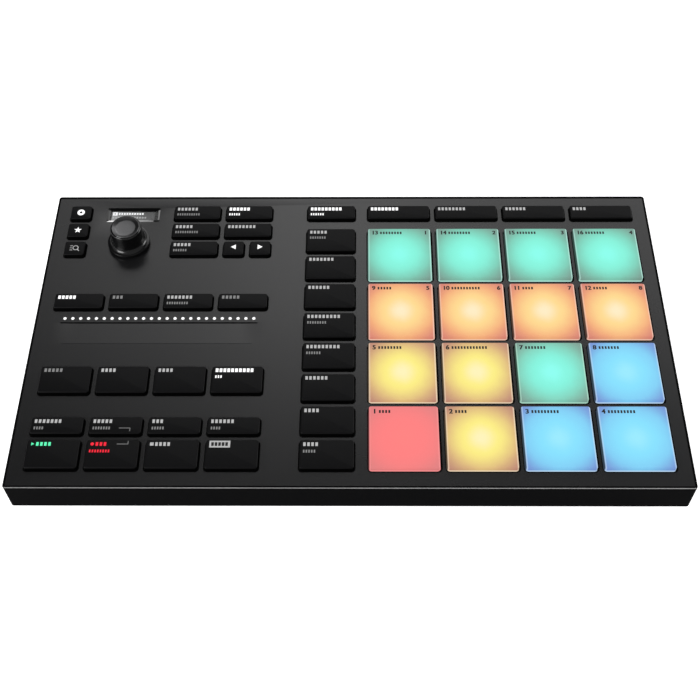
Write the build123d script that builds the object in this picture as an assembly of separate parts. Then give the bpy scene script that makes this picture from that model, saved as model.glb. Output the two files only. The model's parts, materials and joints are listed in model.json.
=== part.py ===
from build123d import *

import os
from collections import namedtuple

# A compact drum machine: sixteen pads, thirty-nine push buttons, a push encoder with its knob,
# a small display and a touch strip, in a case of a top cover and a bottom tray.
# Millimetres. +X is the player's right, +Y the rear, +Z up. The origin is on the table, under
# the middle of the case.

os.makedirs("parts", exist_ok=True)

# ---- control field: the case is as wide and as deep as its controls need ----
edge_margin = 8.8        # outermost caps to the edge of the panel, on all four sides
cap_gap = 3.2            # between neighbouring caps, and between neighbouring pads
cap_width = 24.8
short_depth = 9.1
mode_cap_width = 25.5
pad_width = 33.1
pad_depth = 33.4
centre_gap = 19.2        # left field to the mode column
mode_gap = 6.9           # mode column to the pads
pad_row_gap = 7.1        # pads to the row of pad mode buttons behind them
transport_gap = 13.6     # transport rows to the group row
strip_front_gap = 14.8   # group row to the touch strip
strip_depth = 13.0
strip_inset = 1.1        # touch strip inside the ends of the left field
strip_rear_gap = 7.4     # touch strip to the strip mode row
dot_gap = 2.4            # touch strip to its row of lights
dot_pitch = 4.0
dot_count = 25
dot_radius = 0.8
knob_x_offset = 33.5     # knob and display behind the left margin
knob_from_rear = 33.0
display_width = 28.3
display_depth = 9.7

# ---- heights ----
panel_height = 31.5      # panel face above the table
panel_thickness = 2.5
side_height = 18.7       # side walls of the cover
wall_thickness = 2.5
case_corner = 1.5
case_bevel = 0.6
foot_height = 2.0
cap_rise = 2.3
pad_rise = 2.5
board_drop = 7.0         # panel underside to the face of the main board
board_thickness = 1.6
board_clearance = 0.4    # boards to the walls and bosses beside them

# ---- button caps ----
cap_slot = 0.3           # open slot round each cap
cap_corner = 1.3
cap_edge_round = 0.6
cap_skin = 1.3
flange_reach = 1.0       # retaining flange outside the cap
flange_thickness = 1.2
flange_clearance = 0.2   # flange to the panel underside
stem_radius = 1.9
button_travel = 0.8
touch_clearance = 0.1    # left between a pressed part and its stop
switch_side = 6.0
switch_height = 3.2
plunger_radius = 1.6
plunger_height = 0.8

# ---- pads ----
pad_slot = 0.35
pad_corner = 1.6
pad_edge_round = 1.1
web_clearance = 0.4      # web of the mat to the panel underside
web_thickness = 1.0
web_reach = 1.0          # web outside the outermost pads
pad_foot = 0.6           # pads stand this far below the web
pad_foot_inset = 1.5
pad_travel = 0.6
sheet_thickness = 0.3
plate_thickness = 1.5
pad_boss_radius = 2.2
pad_boss_clearance = 0.4

# ---- encoder and knob ----
shaft_radius = 3.0
shaft_clearance = 0.08
bushing_radius = 4.2
bushing_clearance = 0.4
bushing_rise = 1.0       # bushing above the panel
encoder_side = 12.0
encoder_height = 5.0
actuator_height = 0.8
push_travel = 0.5
knob_lift = 0.9          # skirt above the panel
knob_skirt_radius = 11.0
knob_skirt_edge = 0.9
knob_waist_radius = 8.7
knob_waist_height = 4.6  # above the panel
knob_top_radius = 7.3
knob_rise = 13.5         # knob top above the panel
knob_top_round = 0.7
knob_dish = 0.25
knob_pocket_clearance = 1.2

# ---- display, touch strip and lights ----
bezel_run = 1.4          # sloped edge round the display opening
bezel_drop = 0.6
window_ledge = 0.5       # straight wall below the slope
window_thickness = 1.2
window_overlap = 1.6     # window outside the opening it closes
window_clearance = 0.15
module_thickness = 1.6
holder_inset = 2.5
strip_recess = 0.35
sensor_thickness = 0.5
guide_bar_depth = 3.0
guide_bar_height = 2.4
dot_clearance = 0.06

# ---- tray, screws and feet ----
tray_rim_inset = 1.0
tray_base_inset = 10.0
tray_floor = 2.0
tray_wall = 2.6
tray_corner = 4.0
lip_clearance = 0.25
lip_thickness = 1.5
lip_height = 1.4
boss_radius = 2.8
boss_seat_drop = 5.0     # boss feet below the main board's underside
standoff_radius = 3.8
standoff_ledge = 2.0
case_screw_radius = 1.2
case_head_radius = 2.4
case_head_height = 1.8
case_screw_bite = 7.0    # thread length in a boss
pilot_extra = 1.0        # pilot holes beyond a screw's tip
board_screw_radius = 0.9
board_head_radius = 1.7
board_head_height = 1.1
board_screw_bite = 2.6
thread_clearance = 0.05
head_clearance = 0.3
foot_radius = 6.0
foot_recess = 0.8
foot_inset = 17.5

# ---- rear sockets and the ribbon ----
socket_width = 12.0
socket_height = 10.8
socket_length = 16.0
socket_bore_width = 9.0
socket_bore_height = 8.4
socket_bore_length = 11.5
socket_clearance = 0.15
lock_slot_width = 7.0
lock_slot_height = 3.0
lock_pad_thickness = 1.2
lock_pad_border = 3.0
ribbon_width = 24.0
ribbon_thickness = 0.6
ribbon_tail = 8.0        # ribbon lying on the main board
ribbon_board_lap = 1.6   # ribbon lying on the pad board

# ---- derived sizes ----
column_step = cap_width + cap_gap
half_cap = (cap_width - cap_gap) / 2
short_step = short_depth + cap_gap
pad_step_x = pad_width + cap_gap
pad_step_y = pad_depth + cap_gap
tall_depth = pad_step_y / 2 - cap_gap
field_width = 4 * cap_width + 3 * cap_gap
pads_width = 4 * pad_width + 3 * cap_gap
pads_depth = 4 * pad_depth + 3 * cap_gap
case_width = 2 * edge_margin + field_width + centre_gap + mode_cap_width + mode_gap + pads_width
case_depth = 2 * edge_margin + pads_depth + pad_row_gap + short_depth

right = case_width / 2
left = -right
rear = case_depth / 2
front = -rear
field_left = left + edge_margin
field_right = field_left + field_width
field_x = field_left + field_width / 2
centre_gap_x = field_right + centre_gap / 2
mode_left = field_right + centre_gap
pads_left = mode_left + mode_cap_width + mode_gap
pads_right = pads_left + pads_width
pads_front = front + edge_margin
pads_rear = pads_front + pads_depth

second_row_front = pads_front + tall_depth + cap_gap
second_row_rear = second_row_front + short_depth
group_front = second_row_rear + transport_gap
group_rear = group_front + tall_depth
strip_front = group_rear + strip_front_gap
strip_rear = strip_front + strip_depth
dot_y = strip_rear + dot_gap
strip_row_front = strip_rear + strip_rear_gap
strip_row_rear = strip_row_front + short_depth
top_row_front = rear - edge_margin - short_depth
third_row_front = top_row_front - 2 * short_step
knob_x = left + edge_margin + knob_x_offset
knob_y = rear - knob_from_rear
display_y = top_row_front + short_depth / 2

panel_under = panel_height - panel_thickness
side_bottom = panel_height - side_height
board_top = panel_under - board_drop
board_under = board_top - board_thickness
cap_top = panel_height + cap_rise
flange_top = panel_under - flange_clearance
flange_bottom = flange_top - flange_thickness
stem_bottom = board_top + switch_height + plunger_height + button_travel + touch_clearance
pad_top = panel_height + pad_rise
web_top = panel_under - web_clearance
web_bottom = web_top - web_thickness
mat_bottom = web_bottom - pad_foot
sheet_top = mat_bottom - pad_travel - touch_clearance
pad_board_top = sheet_top - sheet_thickness
plate_top = pad_board_top - board_thickness
plate_bottom = plate_top - plate_thickness
floor_top = foot_height + tray_floor
boss_bottom = board_under - boss_seat_drop
socket_bottom = side_bottom + lip_height + 2 * socket_clearance
socket_z = socket_bottom + socket_height / 2

BASE = (Align.CENTER, Align.CENTER, Align.MIN)
Cap = namedtuple("Cap", "name x y width depth")


# ---- shapes that repeat ----
def slab(x_min, x_max, y_min, y_max, z_min, z_max):
    """Plain block between two corners."""
    at = Pos((x_min + x_max) / 2, (y_min + y_max) / 2, z_min)
    return at * Box(x_max - x_min, y_max - y_min, z_max - z_min, align=BASE)


def rounded_slab(x, y, width, depth, z_min, z_max, corner):
    """Upright block with rounded vertical edges, centred on x, y."""
    outline = RectangleRounded(width, depth, corner)
    return Pos(x, y, z_min) * extrude(outline, amount=z_max - z_min)


def rear_block(x, z, width, height, y_min, y_max):
    """Block centred on x and z, for what is in or behind the rear wall."""
    return slab(x - width / 2, x + width / 2, y_min, y_max, z - height / 2, z + height / 2)


def post(x, y, radius, z_min, z_max):
    """Upright round post or hole."""
    return Pos(x, y, z_min) * Cylinder(radius, z_max - z_min, align=BASE)


def cap_row(names, x_left, y_front, width, depth, step):
    """Caps side by side, the first with its left edge at x_left."""
    y = y_front + depth / 2
    return [Cap(name, x_left + width / 2 + i * step, y, width, depth) for i, name in enumerate(names)]


def cap_column(names, x_left, y_front, width, depth, step):
    """Caps one behind the other, the first nearest the player."""
    x = x_left + width / 2
    return [Cap(name, x, y_front + depth / 2 + i * step, width, depth) for i, name in enumerate(names)]


# ---- where every cap and pad is ----
caps = cap_row(
    ["play_button", "record_button", "stop_button", "shift_button"],
    field_left, pads_front, cap_width, tall_depth, column_step,
)
caps += cap_row(
    ["restart_button", "erase_button", "tap_button", "follow_button"],
    field_left, second_row_front, cap_width, short_depth, column_step,
)
caps += cap_row(
    ["group_button", "auto_button", "lock_button", "note_repeat_button"],
    field_left, group_front, cap_width, tall_depth, column_step,
)
caps += cap_row(
    ["pitch_button", "mod_button", "perform_button", "notes_button"],
    field_left, strip_row_front, cap_width, short_depth, column_step,
)
caps += cap_column(
    ["search_button", "favourite_button", "menu_button"],
    field_left, third_row_front, half_cap, short_depth, short_step,
)
caps += cap_column(
    ["tempo_button", "swing_button", "volume_button"],
    field_left + 2 * column_step, third_row_front, cap_width, short_depth, short_step,
)
caps += cap_column(
    ["sampling_button", "plugin_button"],
    field_left + 3 * column_step, third_row_front + short_step, cap_width, short_depth, short_step,
)
caps += cap_row(
    ["left_button", "right_button"],
    field_left + 3 * column_step, third_row_front, half_cap, short_depth, half_cap + cap_gap,
)
caps += cap_column(
    ["mute_button", "solo_button", "select_button", "duplicate_button",
     "variation_button", "events_button", "pattern_button", "scene_button"],
    mode_left, pads_front, mode_cap_width, tall_depth, tall_depth + cap_gap,
)
caps += cap_row(
    ["fixed_velocity_button"], mode_left, top_row_front, mode_cap_width, short_depth, 0,
)
caps += cap_row(
    ["pad_mode_button", "keyboard_button", "chords_button", "step_button"],
    pads_left, top_row_front, pad_width, short_depth, pad_step_x,
)

pads = [
    (pads_left + pad_width / 2 + i * pad_step_x, pads_front + pad_depth / 2 + j * pad_step_y)
    for j in range(4)
    for i in range(4)
]
pad_joints = [
    (pads_left + i * pad_step_x - cap_gap / 2, pads_front + j * pad_step_y - cap_gap / 2)
    for j in (1, 2, 3)
    for i in (1, 2, 3)
]
dots = [(field_x + (i - (dot_count - 1) / 2) * dot_pitch, dot_y) for i in range(dot_count)]

# ---- where the screws and feet are ----
transport_gap_y = second_row_rear + transport_gap / 2
strip_gap_y = group_rear + strip_front_gap / 2
name_gap_y = (strip_row_rear + third_row_front) / 2
first_column_x = field_left + cap_width / 2
second_column_x = first_column_x + column_step
fourth_column_x = first_column_x + 3 * column_step
cover_screws = [
    (x, y) for x in (second_column_x, centre_gap_x) for y in (transport_gap_y, name_gap_y)
]
plate_screws = [pads[0], pads[3], pads[12], pads[15]]
main_board_screws = [
    (x, y)
    for x in (first_column_x, fourth_column_x)
    for y in (transport_gap_y, strip_gap_y, name_gap_y)
]
main_board_screws += [
    (pads_left + i * pad_step_x - cap_gap / 2, pads_rear + pad_row_gap / 2) for i in (1, 3)
]
foot_spots = [
    (sx * (right - foot_inset), sy * (rear - foot_inset)) for sx in (-1, 1) for sy in (-1, 1)
]
lock_x = pads_right - pad_step_x - pad_width - cap_gap / 2
lock_z = side_bottom + side_height / 2


# ---- case ----
def make_cover():
    """Shell of panel and side walls, with every opening and the bosses under the panel."""
    body = rounded_slab(0, 0, case_width, case_depth, side_bottom, panel_height, case_corner)
    body = chamfer(body.faces().sort_by(Axis.Z)[-1].edges(), case_bevel)
    inner_width = case_width - 2 * wall_thickness
    inner_depth = case_depth - 2 * wall_thickness
    body -= slab(-inner_width / 2, inner_width / 2, -inner_depth / 2, inner_depth / 2,
                 side_bottom, panel_under)

    bosses = [post(x, y, boss_radius, boss_bottom, panel_under) for x, y in cover_screws]
    bosses += [post(x, y, pad_boss_radius, board_top, panel_under) for x, y in main_board_screws]
    bosses += [post(x, y, pad_boss_radius, pad_board_top, panel_under) for x, y in pad_joints]
    wall_inside = rear - wall_thickness
    pad_inside = wall_inside - lock_pad_thickness
    bosses.append(
        rear_block(lock_x, lock_z, lock_slot_width + 2 * lock_pad_border,
                   lock_slot_height + 2 * lock_pad_border, pad_inside, wall_inside)
    )
    body += bosses

    above = panel_height + case_bevel
    cuts = [
        rounded_slab(c.x, c.y, c.width + 2 * cap_slot, c.depth + 2 * cap_slot,
                     panel_under, above, cap_corner + cap_slot)
        for c in caps
    ]
    cuts += [
        rounded_slab(x, y, pad_width + 2 * pad_slot, pad_depth + 2 * pad_slot,
                     panel_under, above, pad_corner + pad_slot)
        for x, y in pads
    ]
    cuts += [post(x, y, dot_radius + dot_clearance, panel_under, above) for x, y in dots]
    cuts.append(post(knob_x, knob_y, bushing_radius + bushing_clearance, panel_under, above))
    cuts.append(
        slab(field_left + strip_inset, field_right - strip_inset, strip_front, strip_rear,
             panel_height - strip_recess, above)
    )
    cuts.append(display_opening())
    pilot = case_screw_radius + thread_clearance
    depth = case_screw_bite + pilot_extra
    cuts += [post(x, y, pilot, boss_bottom, boss_bottom + depth) for x, y in cover_screws]
    pilot = board_screw_radius + thread_clearance
    depth = board_screw_bite + pilot_extra
    cuts += [post(x, y, pilot, board_top, board_top + depth) for x, y in main_board_screws]
    cuts += [post(x, y, pilot, pad_board_top, panel_under) for x, y in pad_joints]
    cuts.append(
        rear_block(centre_gap_x, socket_z, socket_width + 2 * socket_clearance,
                   socket_height + 2 * socket_clearance, wall_inside, rear)
    )
    cuts.append(rear_block(lock_x, lock_z, lock_slot_width, lock_slot_height, pad_inside, rear))
    return body - cuts


def display_opening():
    """Sloped mouth, straight ledge and the pocket below that the window sits in."""
    inner_width = display_width - 2 * bezel_run
    inner_depth = display_depth - 2 * bezel_run
    mouth = loft([
        Pos(0, 0, panel_height - bezel_drop) * Rectangle(inner_width, inner_depth),
        Pos(0, 0, panel_height) * Rectangle(display_width, display_depth),
    ])
    ledge_bottom = panel_height - bezel_drop - window_ledge
    ledge = slab(-inner_width / 2, inner_width / 2, -inner_depth / 2, inner_depth / 2,
                 ledge_bottom, panel_height - bezel_drop)
    gap = 2 * (window_overlap + window_clearance)
    pocket = Pos(0, 0, panel_under) * Box(inner_width + gap, inner_depth + gap,
                                          ledge_bottom - panel_under, align=BASE)
    return Pos(knob_x, display_y, 0) * (mouth + ledge + pocket)


def tray_outline(inset, corner, z):
    """Outline of the case drawn in by inset, at height z."""
    return Pos(0, 0, z) * RectangleRounded(case_width - 2 * inset, case_depth - 2 * inset, corner)


def standoff(x, y, top):
    """Tube on the tray floor that carries a screw's head below its ledge."""
    return post(x, y, standoff_radius, floor_top, top)


def standoff_bore(x, y, top):
    """Head bore from below and the hole through the ledge."""
    ledge = top - standoff_ledge
    bore = post(x, y, case_head_radius + head_clearance, foot_height, ledge)
    return bore + post(x, y, case_screw_radius + head_clearance, ledge, top)


def make_tray():
    """Sloped pan with a locating lip inside the cover, foot recesses and screw tubes."""
    pan = loft([tray_outline(tray_base_inset, tray_corner, foot_height),
                tray_outline(tray_rim_inset, tray_corner, side_bottom)], ruled=True)
    lip_outer = wall_thickness + lip_clearance
    lip_inner = lip_outer + lip_thickness
    pan += extrude(tray_outline(lip_outer, tray_corner, side_bottom), amount=lip_height)
    hollow = loft([tray_outline(tray_base_inset + tray_wall / 2, tray_corner, floor_top),
                   tray_outline(lip_inner, tray_corner, side_bottom)], ruled=True)
    hollow += extrude(tray_outline(lip_inner, tray_corner, side_bottom), amount=lip_height)
    pan -= hollow
    pan += [standoff(x, y, boss_bottom) for x, y in cover_screws]
    pan += [standoff(x, y, plate_bottom) for x, y in plate_screws]
    bores = [standoff_bore(x, y, boss_bottom) for x, y in cover_screws]
    bores += [standoff_bore(x, y, plate_bottom) for x, y in plate_screws]
    bores += [post(x, y, foot_radius, foot_height, foot_height + foot_recess) for x, y in foot_spots]
    return pan - bores


def make_feet():
    """Rubber discs set into the tray."""
    feet = []
    for x, y in foot_spots:
        disc = post(x, y, foot_radius, 0, foot_height + foot_recess)
        feet.append(chamfer(disc.faces().sort_by(Axis.Z)[0].edges(), foot_height / 4))
    return feet


def screw(x, y, seat, length, radius, head_radius, head_height):
    """Pan-head screw whose head hangs below its seat, thread upwards."""
    head = post(x, y, head_radius, seat - head_height, seat)
    head = chamfer(head.faces().sort_by(Axis.Z)[0].edges(), head_height / 3)
    drive = post(x, y, radius / 2, seat - head_height, seat - head_height / 2)
    return head + post(x, y, radius, seat, seat + length) - drive


def make_case_screws():
    """Screws from below: four into the cover, four into the pad plate."""
    sizes = (case_screw_radius, case_head_radius, case_head_height)
    screws = [
        screw(x, y, boss_bottom - standoff_ledge, standoff_ledge + case_screw_bite, *sizes)
        for x, y in cover_screws
    ]
    screws += [
        screw(x, y, plate_bottom - standoff_ledge, standoff_ledge + plate_thickness, *sizes)
        for x, y in plate_screws
    ]
    return screws


def make_board_screws():
    """Screws that hold the main board and the pad stack under the cover."""
    sizes = (board_screw_radius, board_head_radius, board_head_height)
    screws = [
        screw(x, y, board_under, board_thickness + board_screw_bite, *sizes)
        for x, y in main_board_screws
    ]
    stack = plate_thickness + board_thickness
    screws += [screw(x, y, plate_bottom, stack + board_screw_bite, *sizes) for x, y in pad_joints]
    return screws


# ---- boards and what they carry ----
def make_main_board():
    """L-shaped board under every button, notched round the socket."""
    edge = wall_thickness + lock_pad_thickness + board_clearance
    column_right = mode_left + mode_cap_width + mode_gap / 3
    board = slab(left + edge, column_right, front + edge, rear - edge, board_under, board_top)
    board += slab(left + edge, right - edge, pads_rear + board_clearance, rear - edge,
                  board_under, board_top)
    holes = [
        post(x, y, boss_radius + board_clearance, board_under, board_top) for x, y in cover_screws
    ]
    holes += [
        post(x, y, board_screw_radius + thread_clearance, board_under, board_top)
        for x, y in main_board_screws
    ]
    holes.append(
        rear_block(centre_gap_x, socket_z, socket_width + 2 * socket_clearance,
                   socket_height + 2 * socket_clearance, rear - socket_length - socket_clearance, rear)
    )
    return board - holes


def make_switches():
    """One tactile switch under the middle of each cap."""
    switches = []
    for c in caps:
        body = Pos(c.x, c.y, board_top) * Box(switch_side, switch_side, switch_height, align=BASE)
        body += post(c.x, c.y, plunger_radius, board_top + switch_height,
                     board_top + switch_height + plunger_height)
        switches.append(body)
    return switches


def pad_layer(reach, z_min, z_max, hole_radius):
    """Sheet under the pads, with a hole at each pad joint."""
    sheet = slab(pads_left - reach, pads_right + reach, pads_front - reach, pads_rear + reach, z_min, z_max)
    return sheet - [post(x, y, hole_radius, z_min, z_max) for x, y in pad_joints]


def make_pad_board():
    """Sensor board, a little wider on the left where the ribbon lands."""
    board = pad_layer(web_reach, plate_top, pad_board_top, board_screw_radius + thread_clearance)
    tab_y = pads_front + pads_depth / 2
    half = ribbon_width / 2 + ribbon_thickness
    board += slab(pads_left - web_reach - ribbon_board_lap - ribbon_thickness, pads_left - web_reach,
                  tab_y - half, tab_y + half, plate_top, pad_board_top)
    return board


def make_plate():
    """Steel plate that takes the force of the pads, tapped for the case screws."""
    plate = pad_layer(web_reach, plate_bottom, plate_top, board_screw_radius + thread_clearance)
    tapped = case_screw_radius + thread_clearance
    return plate - [post(x, y, tapped, plate_bottom, plate_top) for x, y in plate_screws]


def make_ribbon():
    """Flat ribbon from the main board up on to the pad board."""
    y = pads_front + pads_depth / 2
    lap_right = pads_left - web_reach - ribbon_thickness / 2
    rise_left = lap_right - ribbon_board_lap - 2 * ribbon_thickness - ribbon_thickness
    y_min, y_max = y - ribbon_width / 2, y + ribbon_width / 2
    tail = slab(rise_left - ribbon_tail, rise_left + ribbon_thickness, y_min, y_max,
                board_top, board_top + ribbon_thickness)
    rise = slab(rise_left, rise_left + ribbon_thickness, y_min, y_max,
                board_top, pad_board_top + ribbon_thickness)
    lap = slab(rise_left, lap_right, y_min, y_max, pad_board_top, pad_board_top + ribbon_thickness)
    return tail + rise + lap


def make_socket():
    """Square data socket, its mouth level with the rear wall."""
    shell = rear_block(centre_gap_x, socket_z, socket_width, socket_height, rear - socket_length, rear)
    bore = rear_block(centre_gap_x, socket_z, socket_bore_width, socket_bore_height,
                      rear - socket_bore_length, rear)
    return shell - bore


# ---- display, touch strip and lights ----
def make_window():
    """Clear window in its pocket under the sloped mouth."""
    width = display_width - 2 * bezel_run + 2 * window_overlap
    depth = display_depth - 2 * bezel_run + 2 * window_overlap
    top = panel_height - bezel_drop - window_ledge
    return Pos(knob_x, display_y, top - window_thickness) * Box(width, depth, window_thickness, align=BASE)


def make_display():
    """Display glass against the window, on a holder that stands on the main board."""
    width = display_width - 2 * bezel_run + 2 * window_overlap
    depth = display_depth - 2 * bezel_run + 2 * window_overlap
    top = panel_height - bezel_drop - window_ledge - window_thickness
    glass = Pos(knob_x, display_y, top - module_thickness) * Box(width, depth, module_thickness, align=BASE)
    height = top - module_thickness - board_top
    holder = Pos(knob_x, display_y, board_top) * Box(width - holder_inset, depth - holder_inset,
                                                     height, align=BASE)
    return [glass, holder]


def make_strip_sensor():
    """Touch film bonded under the recess in the panel."""
    return slab(field_left + strip_inset, field_right - strip_inset, strip_front, strip_rear,
                panel_under - sensor_thickness, panel_under)


def make_light_guide():
    """Bar under the panel with one pin up to the surface for each light."""
    half = (dot_count - 1) * dot_pitch / 2 + 2 * dot_radius
    guide = slab(field_x - half, field_x + half, dot_y - guide_bar_depth / 2, dot_y + guide_bar_depth / 2,
                 panel_under - guide_bar_height, panel_under)
    return guide + [post(x, y, dot_radius, panel_under, panel_height) for x, y in dots]


# ---- encoder and knob ----
def make_encoder_body():
    """Housing on the board with the bushing that guides the shaft through the panel."""
    body = Pos(knob_x, knob_y, board_top) * Box(encoder_side, encoder_side, encoder_height, align=BASE)
    bushing_top = panel_height + bushing_rise
    body += post(knob_x, knob_y, bushing_radius, board_top + encoder_height, bushing_top)
    return body - post(knob_x, knob_y, shaft_radius + shaft_clearance, board_top, bushing_top)


actuator_bottom = board_top + push_travel + touch_clearance
shaft_bottom = actuator_bottom + actuator_height
hub_bottom = panel_height + bushing_rise + push_travel + knob_lift / 2
hub_top = panel_height + knob_rise - 2 * cap_skin


def make_actuator():
    """Push disc that the shaft bears on."""
    return post(knob_x, knob_y, shaft_radius, actuator_bottom, shaft_bottom)


def make_shaft():
    """Round shaft from the actuator up into the knob's hub."""
    return post(knob_x, knob_y, shaft_radius, shaft_bottom, hub_top)


def make_knob():
    """Turned knob: flared skirt, tapered body, dished top with a raised rim."""
    skirt_bottom = panel_height + knob_lift
    skirt_top = skirt_bottom + knob_skirt_edge
    waist = panel_height + knob_waist_height
    top = panel_height + knob_rise
    pocket = bushing_radius + knob_pocket_clearance
    start = (knob_skirt_radius, skirt_top)
    end = (knob_waist_radius, waist)
    flare = RadiusArc(start, end, (knob_skirt_radius - knob_waist_radius) * 1.6)
    outline = Polyline((0, hub_bottom), (pocket, hub_bottom), (pocket, skirt_bottom),
                       (knob_skirt_radius, skirt_bottom), start)
    side = Polyline(end, (knob_top_radius, top), (0, top), (0, hub_bottom))
    profile = make_face(Curve() + [outline, flare, side])
    body = revolve(Plane.XZ * profile, Axis.Z)
    rim = body.faces().sort_by(Axis.Z)[-1].edges()
    body = fillet(rim, knob_top_round)
    dish_radius = knob_top_radius - 2 * knob_top_round
    body -= Pos(0, 0, top - knob_dish) * Cylinder(dish_radius, knob_dish, align=BASE)
    body -= Pos(0, 0, hub_bottom) * Cylinder(shaft_radius, hub_top - hub_bottom, align=BASE)
    return Pos(knob_x, knob_y, 0) * body


# ---- buttons and pads ----
def make_cap(c):
    """Hollow cap with a retaining flange and the stem that meets its switch."""
    body = rounded_slab(0, 0, c.width, c.depth, flange_bottom, cap_top, cap_corner)
    body = fillet(body.faces().sort_by(Axis.Z)[-1].edges(), cap_edge_round)
    body += rounded_slab(0, 0, c.width + 2 * flange_reach, c.depth + 2 * flange_reach,
                         flange_bottom, flange_top, cap_corner + flange_reach)
    hollow_width = c.width - 2 * cap_skin
    hollow_depth = c.depth - 2 * cap_skin
    body -= Pos(0, 0, flange_bottom) * Box(hollow_width, hollow_depth,
                                           cap_top - cap_skin - flange_bottom, align=BASE)
    body += post(0, 0, stem_radius, stem_bottom, cap_top - cap_skin)
    return Pos(c.x, c.y, 0) * body


def make_pad_mat():
    """Sixteen pads moulded in one with the thin web that joins them."""
    mat = pad_layer(web_reach, web_bottom, web_top, pad_boss_radius + pad_boss_clearance)
    pad = rounded_slab(0, 0, pad_width, pad_depth, web_bottom, pad_top, pad_corner)
    pad = fillet(pad.faces().sort_by(Axis.Z)[-1].edges(), pad_edge_round)
    pad += rounded_slab(0, 0, pad_width - 2 * pad_foot_inset, pad_depth - 2 * pad_foot_inset,
                        mat_bottom, web_bottom, pad_corner)
    return mat + [Pos(x, y, 0) * pad for x, y in pads]


# ---- write every sub-part ----
def write(name, shape):
    """One STEP file to a sub-part; a list becomes one group of separate solids."""
    if isinstance(shape, list):
        shape = Compound(children=shape)
    shape.label = name
    export_step(shape, os.path.join("parts", name + ".step"))


write("top_cover", make_cover())
write("bottom_tray", make_tray())
write("feet", make_feet())
write("case_screws", make_case_screws())
write("board_screws", make_board_screws())
write("main_board", make_main_board())
write("button_switches", make_switches())
write("pad_board", make_pad_board())
write("pad_sensor_sheet",
      pad_layer(web_reach, pad_board_top, sheet_top, pad_boss_radius + pad_boss_clearance))
write("pad_support_plate", make_plate())
write("board_link_ribbon", make_ribbon())
write("usb_socket", make_socket())
write("display_window", make_window())
write("display_module", make_display())
write("touch_strip_sensor", make_strip_sensor())
write("strip_light_guide", make_light_guide())
write("encoder_body", make_encoder_body())
write("encoder_actuator", make_actuator())
write("encoder_shaft", make_shaft())
write("knob", make_knob())
write("pad_mat", make_pad_mat())
for cap in caps:
    write(cap.name, make_cap(cap))
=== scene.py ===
"""A compact drum machine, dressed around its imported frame.

The frame gives the case, boards, screws and sockets. This script gives them their finishes and adds the
pieces that carry the looks: soft-edged button caps with their legends, the lit pads, the turned knob, the
display picture, the strip lights and the inside of the data socket.
"""

from __future__ import annotations

import json
import logging
import math
from collections.abc import Callable, Iterator, Sequence
from contextlib import contextmanager
from dataclasses import dataclass, field
from enum import Enum
from functools import cache
from itertools import product

import bmesh
import bpy
from bpy.types import Material, Node, NodeSocket, NodeTree, Object
from mathutils import Matrix, Vector

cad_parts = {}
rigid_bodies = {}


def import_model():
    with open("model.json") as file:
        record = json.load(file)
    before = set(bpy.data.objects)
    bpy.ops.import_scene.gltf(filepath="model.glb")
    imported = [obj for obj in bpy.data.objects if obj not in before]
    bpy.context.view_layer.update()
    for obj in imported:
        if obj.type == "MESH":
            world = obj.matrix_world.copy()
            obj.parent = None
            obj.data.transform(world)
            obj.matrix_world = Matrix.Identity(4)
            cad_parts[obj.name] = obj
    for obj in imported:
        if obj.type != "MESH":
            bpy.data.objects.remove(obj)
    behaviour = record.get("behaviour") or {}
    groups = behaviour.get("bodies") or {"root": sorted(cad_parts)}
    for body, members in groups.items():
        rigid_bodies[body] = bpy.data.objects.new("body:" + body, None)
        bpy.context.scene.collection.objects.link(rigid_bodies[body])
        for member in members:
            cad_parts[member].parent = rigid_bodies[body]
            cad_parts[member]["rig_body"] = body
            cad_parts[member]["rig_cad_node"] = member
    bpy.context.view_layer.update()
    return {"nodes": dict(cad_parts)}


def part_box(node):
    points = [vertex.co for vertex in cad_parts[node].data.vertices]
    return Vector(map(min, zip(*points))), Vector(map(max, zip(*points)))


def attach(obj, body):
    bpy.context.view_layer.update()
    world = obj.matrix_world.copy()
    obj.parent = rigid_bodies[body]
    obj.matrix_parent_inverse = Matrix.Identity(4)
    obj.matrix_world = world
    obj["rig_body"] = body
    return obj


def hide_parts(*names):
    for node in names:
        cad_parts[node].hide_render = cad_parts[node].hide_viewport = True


MM = 0.001
HAIR = 0.02 * MM  # thickness of a printed mark and the tolerance of every test on a place
LOG = logging.getLogger("drum_machine")

Colour = tuple[float, float, float, float]
Inputs = dict[str | int, object]
Loop = list[tuple[float, float]]
Point = Sequence[float]
Rounding = tuple[float, int]  # radius and steps
Test = Callable[[Vector, Vector], bool]


def tint(code: str) -> Colour:
    """Linear colour of a display colour written as six hex digits.

    Args:
        code: The six digits.

    Returns:
        Red, green, blue and 1.
    """
    parts = [int(code[i : i + 2], 16) / 255 for i in (0, 2, 4)]
    linear = [p / 12.92 if p <= 0.04045 else ((p + 0.055) / 1.055) ** 2.4 for p in parts]
    return (linear[0], linear[1], linear[2], 1.0)


def grey(level: float) -> Colour:
    """Grey of a linear level."""
    return (level, level, level, 1.0)


# ---- shader graphs ----


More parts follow.
